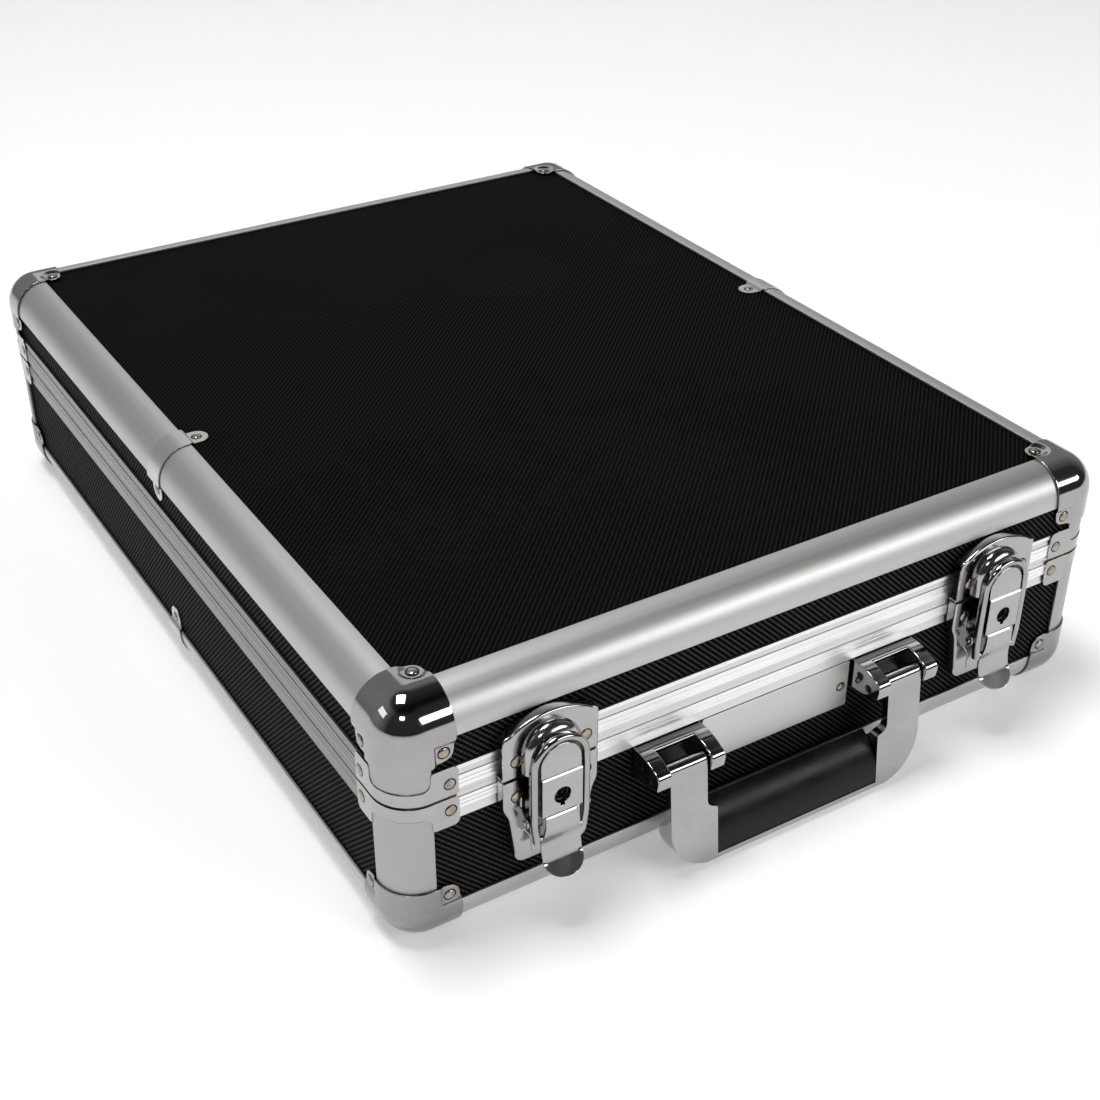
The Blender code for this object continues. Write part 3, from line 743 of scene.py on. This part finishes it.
def cap_mesh():
    """Ball corner as a sheet: a round corner, three arms over the edges and a riveted tab on each face."""
    arc_parts, flat_parts = 12, 20
    parts = arc_parts + flat_parts
    flat = CAP_REACH - EDGE_RADIUS
    radius = EDGE_RADIUS + GAP
    bm = bmesh.new()
    bmesh.ops.create_cube(bm, size=1)
    bmesh.ops.subdivide_edges(bm, edges=bm.edges, cuts=parts - 1, use_grid_fill=True)
    bmesh.ops.delete(bm, geom=[f for f in bm.faces if max(f.normal) > 0.5], context="FACES")

    def place(coordinate):
        step = round((coordinate + 0.5) * parts)
        if step <= arc_parts:
            return -math.tan(math.radians(45) * (arc_parts - step) / arc_parts)
        return flat * (step - arc_parts) / flat_parts

    for vert in bm.verts:
        offset = [place(c) for c in vert.co]
        core = [max(c, 0) for c in offset]
        lean = Vector([min(c, 0) for c in offset])
        wide = [axis for axis in range(3) if core[axis] > 0]
        sink = Vector()
        if len(wide) == 2:
            a, b = (core[axis] for axis in wide)
            angle = math.atan2(b, a)
            reach = cap_reach(math.degrees(angle)) * max(a, b) / flat
            a, b = reach * math.cos(angle), reach * math.sin(angle)
            core[wide[0]], core[wide[1]] = a, b
            sink[3 - sum(wide)] = dish(a, b) if sum(wide) == 1 else notch(a, b)
        vert.co = (Vector((EDGE_RADIUS,) * 3) + Vector(core) + radius * lean.normalized() + sink) * MM
    return baked(bm)


def caps(prefix, body, height, flip, look):
    mesh = cap_mesh()
    seat = EDGE_RADIUS + CAP_TAB
    level = TAB_SINK - GAP - SHEET - 0.2
    spots = [shift(seat, seat, level) @ spin(180, "X")] + beside(Matrix(), seat, level, seat)
    places = []
    turn = spin(90, "Z") @ spin(180, "X") if flip else Matrix()
    for word, corner in corners(height):
        matrix = corner @ turn
        name = f"{prefix}_corner_{word}"
        item = piece(f"{name}_cap", mesh.copy(), matrix, body, look, name)
        thicken(item, SHEET)
        soften(item, 0.22, 2, 50)
        places += [matrix @ spot for spot in spots]
    rivets(f"{prefix}_corner_rivets", places, body, height=0.78)


def wrapped(stations, sink=0.0, columns=6, gap=GAP):
    """Sheet bent round the quarter-round edge, through (distance from its middle, low, high) stations."""
    rows = []
    radius = EDGE_RADIUS + gap
    for s, low, high in stations:
        far = abs(s) - HALF_ARC
        if far <= 0:
            turn = math.radians(225 + 45 * s / HALF_ARC)
            a, b = EDGE_RADIUS + radius * math.cos(turn), EDGE_RADIUS + radius * math.sin(turn)
        else:
            a = EDGE_RADIUS + far
            b = -gap + sink * smooth(1.9, 3.4, far)
            if s < 0:
                a, b = b, a
        rows.append([(a, b, low + (high - low) * i / columns) for i in range(columns + 1)])
    return net(rows)


def both_ways(half):
    """Stations listed outward from the middle, mirrored to both sides."""
    return [(-s, low, high) for s, low, high in half[:0:-1]] + half


def rim_plates(prefix, body, seam, way, strap, wing):
    """Plates round the rim's corners, cut out in a U where the corner post passes."""
    reach = HALF_ARC + 27.3 - EDGE_RADIUS
    cut, bend, round_in, round_out = 12.9, 3.4, 1.3, 2.6
    half = [(s, seam, seam + way * strap) for s in spread(0, cut - bend, 12)[:-1]]
    half += [(cut - bend + bend * math.sin(t), seam, seam + way * (strap + bend * (1 - math.cos(t))))
             for t in turns(0, 90, 6)]
    half += [(cut + 0.2 + round_in * (1 - math.cos(t)), seam,
              seam + way * (wing - round_in * (1 - math.sin(t)))) for t in turns(0, 90, 4)]
    half += [(reach - round_out + round_out * math.sin(t), seam + way * 1.2 * (1 - math.cos(t)) ** 2,
              seam + way * (wing - round_out * (1 - math.cos(t)))) for t in turns(0, 90, 7)]
    stations = [(s, min(a, b), max(a, b)) for s, a, b in both_ways(half)]
    gap, sheet = 0.05, 0.5
    mesh = wrapped(stations, gap=gap)
    places = []
    level = seam + way * 5.6
    for word, matrix in corners():
        name = f"{prefix}_rim_corner_{word}"
        item = piece(f"{name}_plate", mesh.copy(), matrix, body, "pressed_chrome", name)
        thicken(item, sheet)
        soften(item, 0.2, 2, 50)
        places += beside(matrix, 23.6, -gap - sheet, level)
    rivets(f"{prefix}_rim_corner_rivets", places, body, 2.2, 0.54)


def straps(prefix, body, level, upward):
    """Clips bent round the long edges at mid length, with a round-nosed tab at each end."""
    wide, narrow, nose, sheet = 7.1, 5.2, 21.5, 0.55
    half = [(u, wide) for u in spread(EDGE_RADIUS - HALF_ARC, EDGE_RADIUS, 10)[:-1]]
    half += [(15.0, wide), (16.4, wide), (16.9, wide - 0.4)]
    half += [(16.9 + 0.3 * i, narrow + (wide - 0.4 - narrow) * (1 - smooth(0, 7, i))) for i in range(1, 8)]
    half += [(nose + narrow * math.sin(t), narrow * math.cos(t)) for t in turns(0, 86, 9)]
    stations = [(u - EDGE_RADIUS + HALF_ARC, -w, w) for u, w in half]
    mesh = wrapped(both_ways(stations), BOARD_INSET, 8)
    places = []
    proud = BOARD_INSET - GAP - sheet
    for word, sign in SIDES:
        matrix = axes(-sign * X, upward, Vector((sign * HALF_WIDTH * MM, CENTRE_Y, FLOOR + level * MM)))
        name = f"{prefix}_strap_{word}"
        item = piece(f"{name}_clip", mesh.copy(), matrix, body, "clip_chrome", name)
        thicken(item, sheet)
        soften(item, 0.2, 2, 50)
        places += beside(matrix, nose, proud, 0)
    rivets(f"{prefix}_strap_rivets", places, body, 2.1, 0.85)


# ---- latches ----

def keyhole(x_half=0.95, foot=55.9, radius=3.6):
    """Round hole with a slot below it, as a cutter through the cover."""
    drop = math.degrees(math.asin(x_half / radius))
    loop = arc((0, KEY_HEIGHT), radius, -90 + drop, 270 - drop, 28) + [(-x_half, foot), (x_half, foot)]
    return slab(loop, 5.0, 16.0)


def latch_keeper(word, x):
    crown, shoulder, spread = 94.9, 89.5, 17.8
    rise = crown - shoulder
    radius = (spread ** 2 + rise ** 2) / (2 * rise)
    swing = math.degrees(math.asin(spread / radius))
    half = arc((0, crown - radius), radius, 90, 90 - swing, 14)
    half += [(20.0, 88.9), (LATCH_HALF, 87.6), (LATCH_HALF, SEAM + 0.4)]
    loop = mirrored(half)
    name = f"latch_keeper_{word}"
    press(piece(f"{name}_plate", pressed(loop, GAP, PLATE_OUT, len(half) - 2), front_frame(x), "lid",
                "pressed_chrome", name))
    layers = []
    for t in turns(0, 90, 9):
        inset = 4.6 * (1 - math.cos(t))
        top = arc((0, 77.9), 12.6 - inset, 90, 0, 18)
        layers.append([(a, b, PLATE_OUT - 0.3 + 4.5 * math.sin(t))
                       for a, b in mirrored(top + [(12.6 - inset, 70.6)])])
    crisp(piece(f"{name}_dome", skin(layers), front_frame(x), "lid", "pressed_chrome"), 50)


def latch_base(word, x):
    half = [(LATCH_HALF, SEAM - 0.4)]
    half += bezier((LATCH_HALF, 57.0), (LATCH_HALF, 53.6), (18.6, 52.6), (18.1, 48.4), 8)
    half += [(16.1, 33.4)] + arc((11.9, 32.0), 4.3, 10, -90, 8)
    loop = mirrored(half)
    name = f"latch_base_{word}"
    place = front_frame(x)
    press(piece(f"{name}_plate", pressed(loop, GAP, PLATE_OUT, len(loop) - 1), place, "base",
                "pressed_chrome", name))
    rise = []
    for out, grow in ((PLATE_OUT - 0.2, 0.5), (PLATE_OUT + 0.35, 0.3), (PLATE_OUT + 0.65, -0.2)):
        half = [(13.4 + grow, 60.0), (13.4 + grow, 49.0)]
        half += bezier((13.2 + grow, 46.5), (12.8 + grow, 42.5), (9.6 + grow, 41.5), (9.1 + grow, 37.5), 6)
        half += [(8.6 + grow, 31.5 - grow)]
        rise.append([(a, b, out) for a, b in mirrored(half)])
    boss = combined(skin(rise), slab(rounded(0.65, 1.7, 0.5, (-9.2, 44.0), 3), 4.9, 9.0))
    weigh(crisp(piece(f"{name}_boss", boss, place, "base", "pressed_chrome")))
    ears = []
    ear = [(4.4, 55.5), (5.6, 55.3), (7.6, 52.9)] + arc(LEVER_AXIS, 2.5, 75, -75, 8)
    ear += [(6.4, 45.6), (5.4, 44.6), (4.4, 44.6)]
    for side in (-1, 1):
        ears.append((slab(ear, -0.5, 0.5), shift(0, 0, 13.5 * side)))
    soften(piece(f"{name}_ears", merged(ears), side_frame(x), "base", "pressed_chrome"), 0.3, 2)
    for owner, body, height in ((name, "base", KEY_HEIGHT), (f"latch_keeper_{word}", "lid", 77.5)):
        heads = [place @ shift(sign * RIVET_X, height, PLATE_OUT) for _, sign in SIDES]
        rivets(f"{owner}_rivets", heads, body, 2.4, 0.6)


def bead(path, radius, low, level):
    """Round-topped bar along a path in the front plane."""
    loops = []
    for i, (a, b) in enumerate(path):
        before, after = path[max(i - 1, 0)], path[min(i + 1, len(path) - 1)]
        along = Vector((after[0] - before[0], after[1] - before[1])).normalized()
        side = Vector((along.y, -along.x))
        ring = [(-radius * math.cos(t), level + radius * math.sin(t)) for t in turns(0, 180, 10)]
        ring = [(-radius, low)] + ring + [(radius, low)]
        loops.append([(a + side.x * offset, b + side.y * offset, out) for offset, out in ring])
    return skin(loops)


def latch_cover(word, x):
    """Oval hasp: a rounded bead round a sunk floor, and a raised tongue that holds the lock."""
    body, place = f"latch_cover_{word}", front_frame(x)
    legs = bezier((11.25, 50.0), (11.25, 46.5), (10.5, 44.5), (10.3, 40.6), 8)
    half = arc((0, COVER_CROWN), 11.25, 90, 0, 18) + legs
    path = [(-a, b) for a, b in half[:0:-1]] + half
    crisp(piece(f"{body}_bead", bead(path, 1.45, 9.6, 11.0), place, body, "chrome", body), 60)
    floor = mirrored(arc((0, COVER_CROWN), 11.2, 90, 0, 16) + [(11.2, 48.0), (9.3, 44.0), (9.3, 53.5)])
    soften(piece(f"{body}_floor", combined(slab(floor, 9.6, 10.0), keyhole()), place, body,
                 "shaded_chrome"), 0.15, 1)
    upper = mirrored(arc((0, 75.4), TONGUE_HALF, 90, 0, 16) + [(TONGUE_HALF, TONGUE_FOLD)])
    tip = slab(upper, 9.8, 12.1)
    for vert in tip.vertices:
        if vert.co.z > 11 * MM:
            vert.co.z -= 0.04 * (vert.co.y - TONGUE_FOLD * MM)
    soften(piece(f"{body}_tongue_top", tip, place, body, "pressed_chrome"), 0.55, 4)
    steps = ((53.0, 12.8), (70.4, 12.8), (70.85, 12.42))
    wide = TONGUE_HALF
    lower = skin([[(-wide, b, 9.8), (wide, b, 9.8), (wide, b, out), (-wide, b, out)] for b, out in steps])
    lower = crisp(piece(f"{body}_tongue", combined(lower, keyhole()), place, body, "pressed_chrome"), 28)
    soften(lower, 0.25, 3, 50)
    crisp(piece(f"{body}_pin", rod(1.1, 10.6, 0.3, steps=16), side_frame(x) @ shift(*COVER_AXIS, 0), body,
                "chrome"))


def latch_lever(word, x):
    """Finger tab: flat at its top, drawn in under the pin, then flared out to a round tip."""
    body, folds = f"latch_lever_{word}", (51.8, 30.3)
    curve = [(12.5, 52.3), (12.9, 51.8), (12.9, 50.5), (12.9, 48.0), (12.8, 45.5), (12.55, 43.4),
             (12.1, 41.6), (11.7, 40.0), (11.5, 38.4), (11.55, 36.6), (11.8, 34.8), (12.2, 33.0),
             (12.7, 31.4), (13.2, 30.3)]
    widths = [7.3, 7.3, 7.3, 7.35, 7.6, 8.0, 8.35, 8.6, 8.7, 8.75, 8.75, 8.7, 8.65, 8.6]
    reach, flare = 7.4, math.radians(50)
    for t in (math.radians(a) for a in (8, 18, 30, 42, 54, 64, 73, 80, 85)):
        away = reach * math.sin(t)
        curve.append((13.2 + away * math.sin(flare), 30.3 - away * math.cos(flare)))
        widths.append(8.6 * math.cos(t))
    loops = []
    for i, ((out, height), half) in enumerate(zip(curve, widths)):
        before, after = curve[max(i - 1, 0)], curve[min(i + 1, len(curve) - 1)]
        along = Vector((after[0] - before[0], after[1] - before[1])).normalized()
        lean = Vector((-along.y, along.x)) * TAB_SHEET
        front_row = [(half * k / 4, height, out) for k in range(-4, 5)]
        back_row = [(half * k / 4, height - lean.y, out - lean.x) for k in range(4, -5, -1)]
        loops.append(front_row + back_row)
    tab = piece(f"{body}_tab", skin(loops), front_frame(x), body, "pressed_chrome", body)
    for edge in tab.data.edges:
        ends = [tab.data.vertices[i].co.y for i in edge.vertices]
        edge.use_edge_sharp = any(max(abs(end - fold * MM) for end in ends) < 0.01 * MM
                                  for fold in folds)
    soften(tab, 0.12, 2, 60)
    cheek = arc(LEVER_AXIS, 2.4, 90, 210, 8) + arc(COVER_AXIS, 1.9, 200, 275, 6)
    cheek += [(11.3, 42.5), (12.2, 46.0), (12.2, 51.3), (11.6, 51.6)]
    cheeks = [(slab(cheek, -0.55, 0.55), shift(0, 0, 6.6 * side)) for side in (-1, 1)]
    soften(piece(f"{body}_cheeks", merged(cheeks), side_frame(x), body, "pressed_chrome"), 0.25, 2)
    crisp(piece(f"{body}_pin", rod(1.3, 14.5, 0.4), side_frame(x) @ shift(*LEVER_AXIS, 0), body, "chrome"))


def lock_barrel(word, x):
    body = f"lock_barrel_{word}"
    profile = [(0.02, 7.0), (3.5, 7.0), (3.5, 10.9), (3.2, 11.2), (2.8, 10.9), (2.7, 10.2), (0.02, 10.2)]
    plug = lathe(profile, 36)
    slot = slab(rounded(0.5, 2.3, 0.3, (0, -0.6), 3), 8.6, 14.0)
    round_key = slab(arc((0, 0.4), 1.25, 0, 360, 20)[:-1], 8.6, 14.0)
    plug = combined(combined(plug, slot), round_key)
    weigh(crisp(piece(f"{body}_plug", plug, front_frame(x) @ shift(0, KEY_HEIGHT, 0), body, "lock", body)))


# ---- handle ----

def handle_bracket(word, sign):
    """Two cheeks with rounded noses, joined by a back plate and a flat top plate behind the handle's hub."""
    x = sign * BRACKET_X
    name = f"handle_bracket_{word}"
    back, top, bottom = -1.2, RIM_BOTTOM - GAP, 43.0
    plate = slab(rounded(BRACKET_HALF, (top - bottom) / 2, 1.0, (0, (top + bottom) / 2)), back, back + 2.2)
    # The back plate takes the near-black lock metal as painted shade inside the bracket, where the cheeks
    # and top plate keep light from it
    soften(piece(f"{name}_plate", plate, front_frame(x), "base", "lock", name), 0.4, 2)
    nose = (14.2, 50.9)
    cheek = [(back, bottom), (8.0, bottom + 0.9), (14.6, 46.0)]
    cheek += [(17.0, 46.5)] + arc(nose, 3.5, -8, 78, 10)
    cheek += bezier((14.0, 54.6), (12.0, 55.6), (9.0, top - 0.3), (5.0, top), 6) + [(back, top)]
    for side in (-1, 1):
        middle = x + side * (BRACKET_HALF - 3.3)
        item = piece(f"{name}_cheek_{'inner' if side * sign < 0 else 'outer'}", slab(cheek, -3.25, 3.25),
                     side_frame(middle), "base", "cast_chrome")
        soften(item, 0.55, 3)
    bridge = slab([(back, top - 0.4), (back, top), (4.4, top - 0.05), (5.2, top - 0.5), (5.2, top - 2.4),
                   (back, top - 2.4)], -BRACKET_HALF + 5.0, BRACKET_HALF - 5.0)
    soften(piece(f"{name}_bridge", bridge, side_frame(x), "base", "cast_chrome"), 0.3, 2)
    heads = []
    for side in (-1, 1):
        for out, height in ((5.2, 51.6), (11.0, 48.6)):
            outer = side_frame(x + side * BRACKET_HALF) @ shift(out, height, 0)
            heads.append(outer @ (Matrix() if side < 0 else spin(180, "X")))
    rivets(f"{name}_screws", heads, "base", 1.5, 0.35, "lock")


def handle_matrix():
    return Matrix.Translation(front(0, *HANDLE_AXIS)) @ Matrix.Rotation(-HANDLE_TILT, 4, "X")


def handle():
    """Hanging handle: a cast frame with flat posts and rounded lower corners, and a black grip."""
    across = handle_matrix() @ axes(X, Z, Vector())
    sideways = handle_matrix() @ axes(-Y, Z, Vector())
    grip_half, grip_top, grip_floor, foot, turn = 41.4, -23.8, -46.8, -49.5, 21.8
    half = [(POST_INNER, 4.0), (HANDLE_HALF, 4.0)]
    half += arc((HANDLE_HALF - turn, foot + turn), turn, 0, -90, 22)
    inner = [(grip_half, grip_floor), (grip_half, grip_top - 1.6)]
    inner += bezier((grip_half, grip_top), (grip_half + 0.6, grip_top + 1.4), (POST_INNER, grip_top + 1.2),
                    (POST_INNER, grip_top + 5.0), 6)
    outline = mirrored(inner + half)
    side = arc((0, 0), 3.05, 10, 180, 14)
    side += bezier((-2.6, -3.0), (-0.4, -9.0), (0.4, -16.0), (-1.0, -20.5), 8)
    side += bezier((-2.4, -24.5), (-6.4, -27.0), (-6.6, -32.0), (-6.6, -38.0), 6)
    side += bezier((-6.6, -44.0), (-6.4, -48.0), (-5.0, foot), (-3.0, foot), 5)
    side += [(2.1, foot), (3.0, foot + 0.5)]
    body = slab(outline, -20, 20)
    profile = moved(slab(side, -100, 100), sideways)
    profile = moved(profile, across.inverted())
    shape = combined(body, profile, "INTERSECT")
    soften(piece("handle_frame_casting", shape, across, "handle", "cast_chrome", "handle_frame"), 0.6, 3, 38)
    for word, sign in SIDES:
        centre = sign * (POST_INNER + HANDLE_HALF) / 2
        place = side_frame(centre) @ shift(*HANDLE_AXIS, 0)
        crisp(piece(f"handle_hub_{word}", rod(3.1, 8.6, 0.3, 0.4, 32), place, "handle", "cast_chrome"))
    low, high, out, crown = grip_floor + 0.05, grip_top, 2.95, 19.0
    section = [(-5.6, low), (2.7, low), (2.7, low + 0.3), (out, low + 3.5)]
    section += arc((out - crown, low + 6.5), crown, 0, 60, 8) + [(-6.9, high - 2.0), (-6.9, low + 4.0)]
    grip = piece("handle_grip_moulding", slab(soft_loop(section, 3), -grip_half + GAP, grip_half - GAP),
                 sideways, "handle", "grip", "handle_grip")
    soften(grip, 0.35, 2, 45)


def nameplate():
    low, high, back = 34.0, RIM_BOTTOM - 2 * GAP, -1.2
    loop = rounded(37.7, (high - low) / 2, 0.9, (0, (high + low) / 2))
    soften(piece("nameplate_sheet", slab(loop, back, back + 1.0), front_frame(0), "base", "plate",
                 "nameplate"), 0.2, 2)
    heads = [front_frame(sign * 33.9) @ shift(0, 44.7, back + 1.0) for _, sign in SIDES]
    rivets("nameplate_rivets", heads, "base", 1.9, 0.8)


# ---- hinges ----

def knuckle_loop(side):
    ring = arc((HINGE_OUT, 0), HINGE_RADIUS, -90, 197, 26)
    loop = [(GAP, -HINGE_RADIUS + 0.2)] + ring + [(GAP, -0.9)]
    return loop if side < 0 else [(out, -height) for out, height in loop]


def hinges():
    half, pitch = 20.0, 8.0
    for word, sign in SIDES:
        place = back_frame(sign * HINGE_X)
        for level, body, side, which in (("lower", "base", -1, (0, 2, 4)), ("upper", "lid", 1, (1, 3))):
            name = f"hinge_{level}_{word}"
            loop = rounded(half, 5.25, 1.6, (0, side * 5.75))
            soften(piece(f"{name}_leaf", slab(loop, GAP, 1.5), place, body, "pressed_chrome", name), 0.25, 2)
            turn = place @ axes(Z, Y, Vector())
            parts = [(slab(knuckle_loop(side), i * pitch - half + 0.15, (i + 1) * pitch - half - 0.15),
                      Matrix()) for i in which]
            soften(piece(f"{name}_knuckles", merged(parts), turn, body, "pressed_chrome"), 0.25, 2)
            heads = [place @ shift(a, side * 7.2, 1.5) for a in (-13.5, 0, 13.5)]
            rivets(f"{name}_rivets", heads, body, 1.9, 0.7)
    head = [(0.02, -19.9), (1.7, -19.9), (1.9, -19.6), (1.9, -19.2), (1.3, -19.2)]
    pin = lathe(head + [(r, -height) for r, height in head[::-1]], 20)
    for word, sign in SIDES:
        place = back_frame(sign * HINGE_X) @ shift(0, 0, HINGE_OUT) @ spin(90, "Y")
        crisp(piece(f"hinge_pin_{word}", pin.copy(), place, "base", "chrome"))


# ---- lining ----

def base_foam():
    """Foam block with two round-edged pockets."""
    inset = LINING + GAP
    mesh = slab(plan_loop(inset), inset, SEAM - 3)
    for half_a, half_b, centre, floor in ((122, 135, -52, 20), (122, 38, 145, 30)):
        mesh = combined(mesh, slab(rounded(half_a, half_b, 8, (0, centre)), floor, SEAM + 20))
    item = piece("base_foam_block", mesh, plan_frame(0), "base", "foam", "base_foam")
    soften(item, 1.6, 3)


def lid_foam():
    """Profiled foam sheet: rows of soft peaks that face down into the case."""
    inset, top, peak, valley, pitch = LINING + GAP, HEIGHT - LINING - GAP, 84.2, 93.5, 21.0
    half_a, half_b = HALF_WIDTH - inset, HALF_DEPTH - inset
    step = pitch / 8
    count_a, count_b = int(2 * half_a / step), int(2 * half_b / step)
    points = []
    for b in spread(-half_b, half_b, count_b):
        for a in spread(-half_a, half_a, count_a):
            wave = 0.5 + 0.25 * (math.cos(2 * math.pi * a / pitch) + math.cos(2 * math.pi * b / pitch))
            rim = min(smooth(0, 5, half_a - abs(a)), smooth(0, 5, half_b - abs(b)))
            points.append((a, b, valley - (valley - peak) * wave * rim))
    width, deep = count_a + 1, count_b + 1
    faces = [(r * width + i, (r + 1) * width + i, (r + 1) * width + i + 1, r * width + i + 1)
             for r in range(deep - 1) for i in range(width - 1)]
    border = list(range(width)) + [r * width + width - 1 for r in range(1, deep)]
    border += [(deep - 1) * width + i for i in range(width - 2, -1, -1)]
    border += [r * width for r in range(deep - 2, 0, -1)]
    start = len(points)
    points += [(points[i][0], points[i][1], top) for i in border]
    total = len(border)
    faces += [(border[k], border[(k + 1) % total], start + (k + 1) % total, start + k) for k in range(total)]
    faces.append(tuple(range(start, start + total)))
    item = piece("lid_foam_sheet", mesh_of(points, faces), plan_frame(0), "lid", "foam", "lid_foam")
    crisp(item, 60)


# ---- camera, floor and light ----

def aimed(name, data, place, along):
    """A camera or a light that looks along a direction."""
    item = added(name, data)
    item.location = place
    item.rotation_euler = along.to_track_quat("-Z", "Y").to_euler()
    return item


def camera():
    data = bpy.data.cameras.new("camera")
    data.lens = LENS
    data.sensor_width = 36
    data.clip_start, data.clip_end = 0.01, 50
    bpy.context.scene.camera = aimed("camera", data, VIEW_FROM, VIEW_ALONG)


def softbox(name, place, size, power, tone=(1, 1, 1)):
    data = bpy.data.lights.new(name, "AREA")
    data.shape = "RECTANGLE"
    data.size, data.size_y = size
    data.energy = power
    data.color = tone
    aimed(name, data, place, MIDDLE - Vector(place))


def sky():
    """Mid grey behind the case up to a dark ceiling, and dark in front of it."""
    world = bpy.data.worlds.new("studio")
    bpy.context.scene.world = world
    world.use_nodes = True
    tree = world.node_tree
    where = tree.nodes.new("ShaderNodeTexCoord")
    split = tree.nodes.new("ShaderNodeSeparateXYZ")
    ramp = tree.nodes.new("ShaderNodeValToRGB")
    tree.links.new(where.outputs["Generated"], split.inputs[0])
    tree.links.new(split.outputs["Z"], ramp.inputs[0])
    fade = tree.nodes.new("ShaderNodeMapRange")
    for name, value in (("From Min", -0.25), ("From Max", 0.3), ("To Min", 0.15), ("To Max", 1.0)):
        fade.inputs[name].default_value = value
    back = tree.nodes["Background"]
    tree.links.new(split.outputs["Y"], fade.inputs["Value"])
    tree.links.new(fade.outputs[0], back.inputs["Strength"])
    tree.links.new(ramp.outputs[0], back.inputs["Color"])
    tones = ((0.0, 0.28), (0.26, 0.33), (0.55, 0.34), (0.78, 0.31), (0.88, 0.06))
    elements = ramp.color_ramp.elements
    for _ in range(len(tones) - len(elements)):
        elements.new(0.5)
    for element, (position, tone) in zip(elements, tones):
        element.position = position
        element.color = (tone, tone, tone * 1.01, 1)


def studio():
    mesh = bpy.data.meshes.new("floor")
    corners = [(a * FLOOR_HALF, b * FLOOR_HALF, 0) for a, b in ((-1, -1), (1, -1), (1, 1), (-1, 1))]
    mesh.from_pydata(corners, [], [(0, 1, 2, 3)])
    floor = added("floor", mesh)
    g = Graph("floor", Emission_Color=(1, 1, 1, 1), Emission_Strength=0.27)
    speck = g.noise(g.place(), 30.0, 2.0)
    mesh.materials.append(g.finish(g.mix(speck, (0.82, 0.82, 0.82, 1), (0.84, 0.84, 0.84, 1)), 0.9))
    sky()
    softbox("overhead", (-0.3, 0.2, 2.2), (0.9, 0.7), 32)
    softbox("front_right", (1.0, -1.85, 1.08), (1.3, 0.62), 16.5, (1.0, 0.975, 0.95))
    softbox("right", (1.5, -1.45, 0.8), (0.42, 0.3), 2.5)
    softbox("left", (-2.0, 0.5, 1.4), (1.1, 0.6), 4, (0.94, 0.97, 1.0))
    softbox("back", (1.05, 1.9, 1.45), (2.2, 1.0), 4.2, (0.95, 0.98, 1.0))
    softbox("front_left", (-1.3, -1.6, 1.9), (0.5, 0.4), 6)
    bpy.context.scene.view_settings.view_transform = "Standard"


def main():
    carried_boards()
    edges("base", "base", Z)
    edges("lid", "lid", -Z)
    posts("base", "base", EDGE_LEG + GAP, SEAM - 6.8, True)
    posts("lid", "lid", SEAM + 6.5, HEIGHT - EDGE_LEG - GAP, False)
    rims()
    caps("base", "base", 0, False, "satin_chrome")
    caps("lid", "lid", HEIGHT, True, "chrome")
    rim_plates("base", "base", SEAM - 0.6, -1, 5.9, 13.1)
    rim_plates("lid", "lid", SEAM + 0.6, 1, 5.6, 13.0)
    straps("base", "base", 0, Z)
    straps("lid", "lid", HEIGHT, -Z)
    for word, sign in SIDES:
        latch_keeper(word, sign * LATCH_X)
        latch_base(word, sign * LATCH_X)
        latch_cover(word, sign * LATCH_X)
        latch_lever(word, sign * LATCH_X)
        lock_barrel(word, sign * LATCH_X)
        handle_bracket(word, sign)
    handle()
    nameplate()
    hinges()
    base_foam()
    lid_foam()
    camera()
    studio()


main()
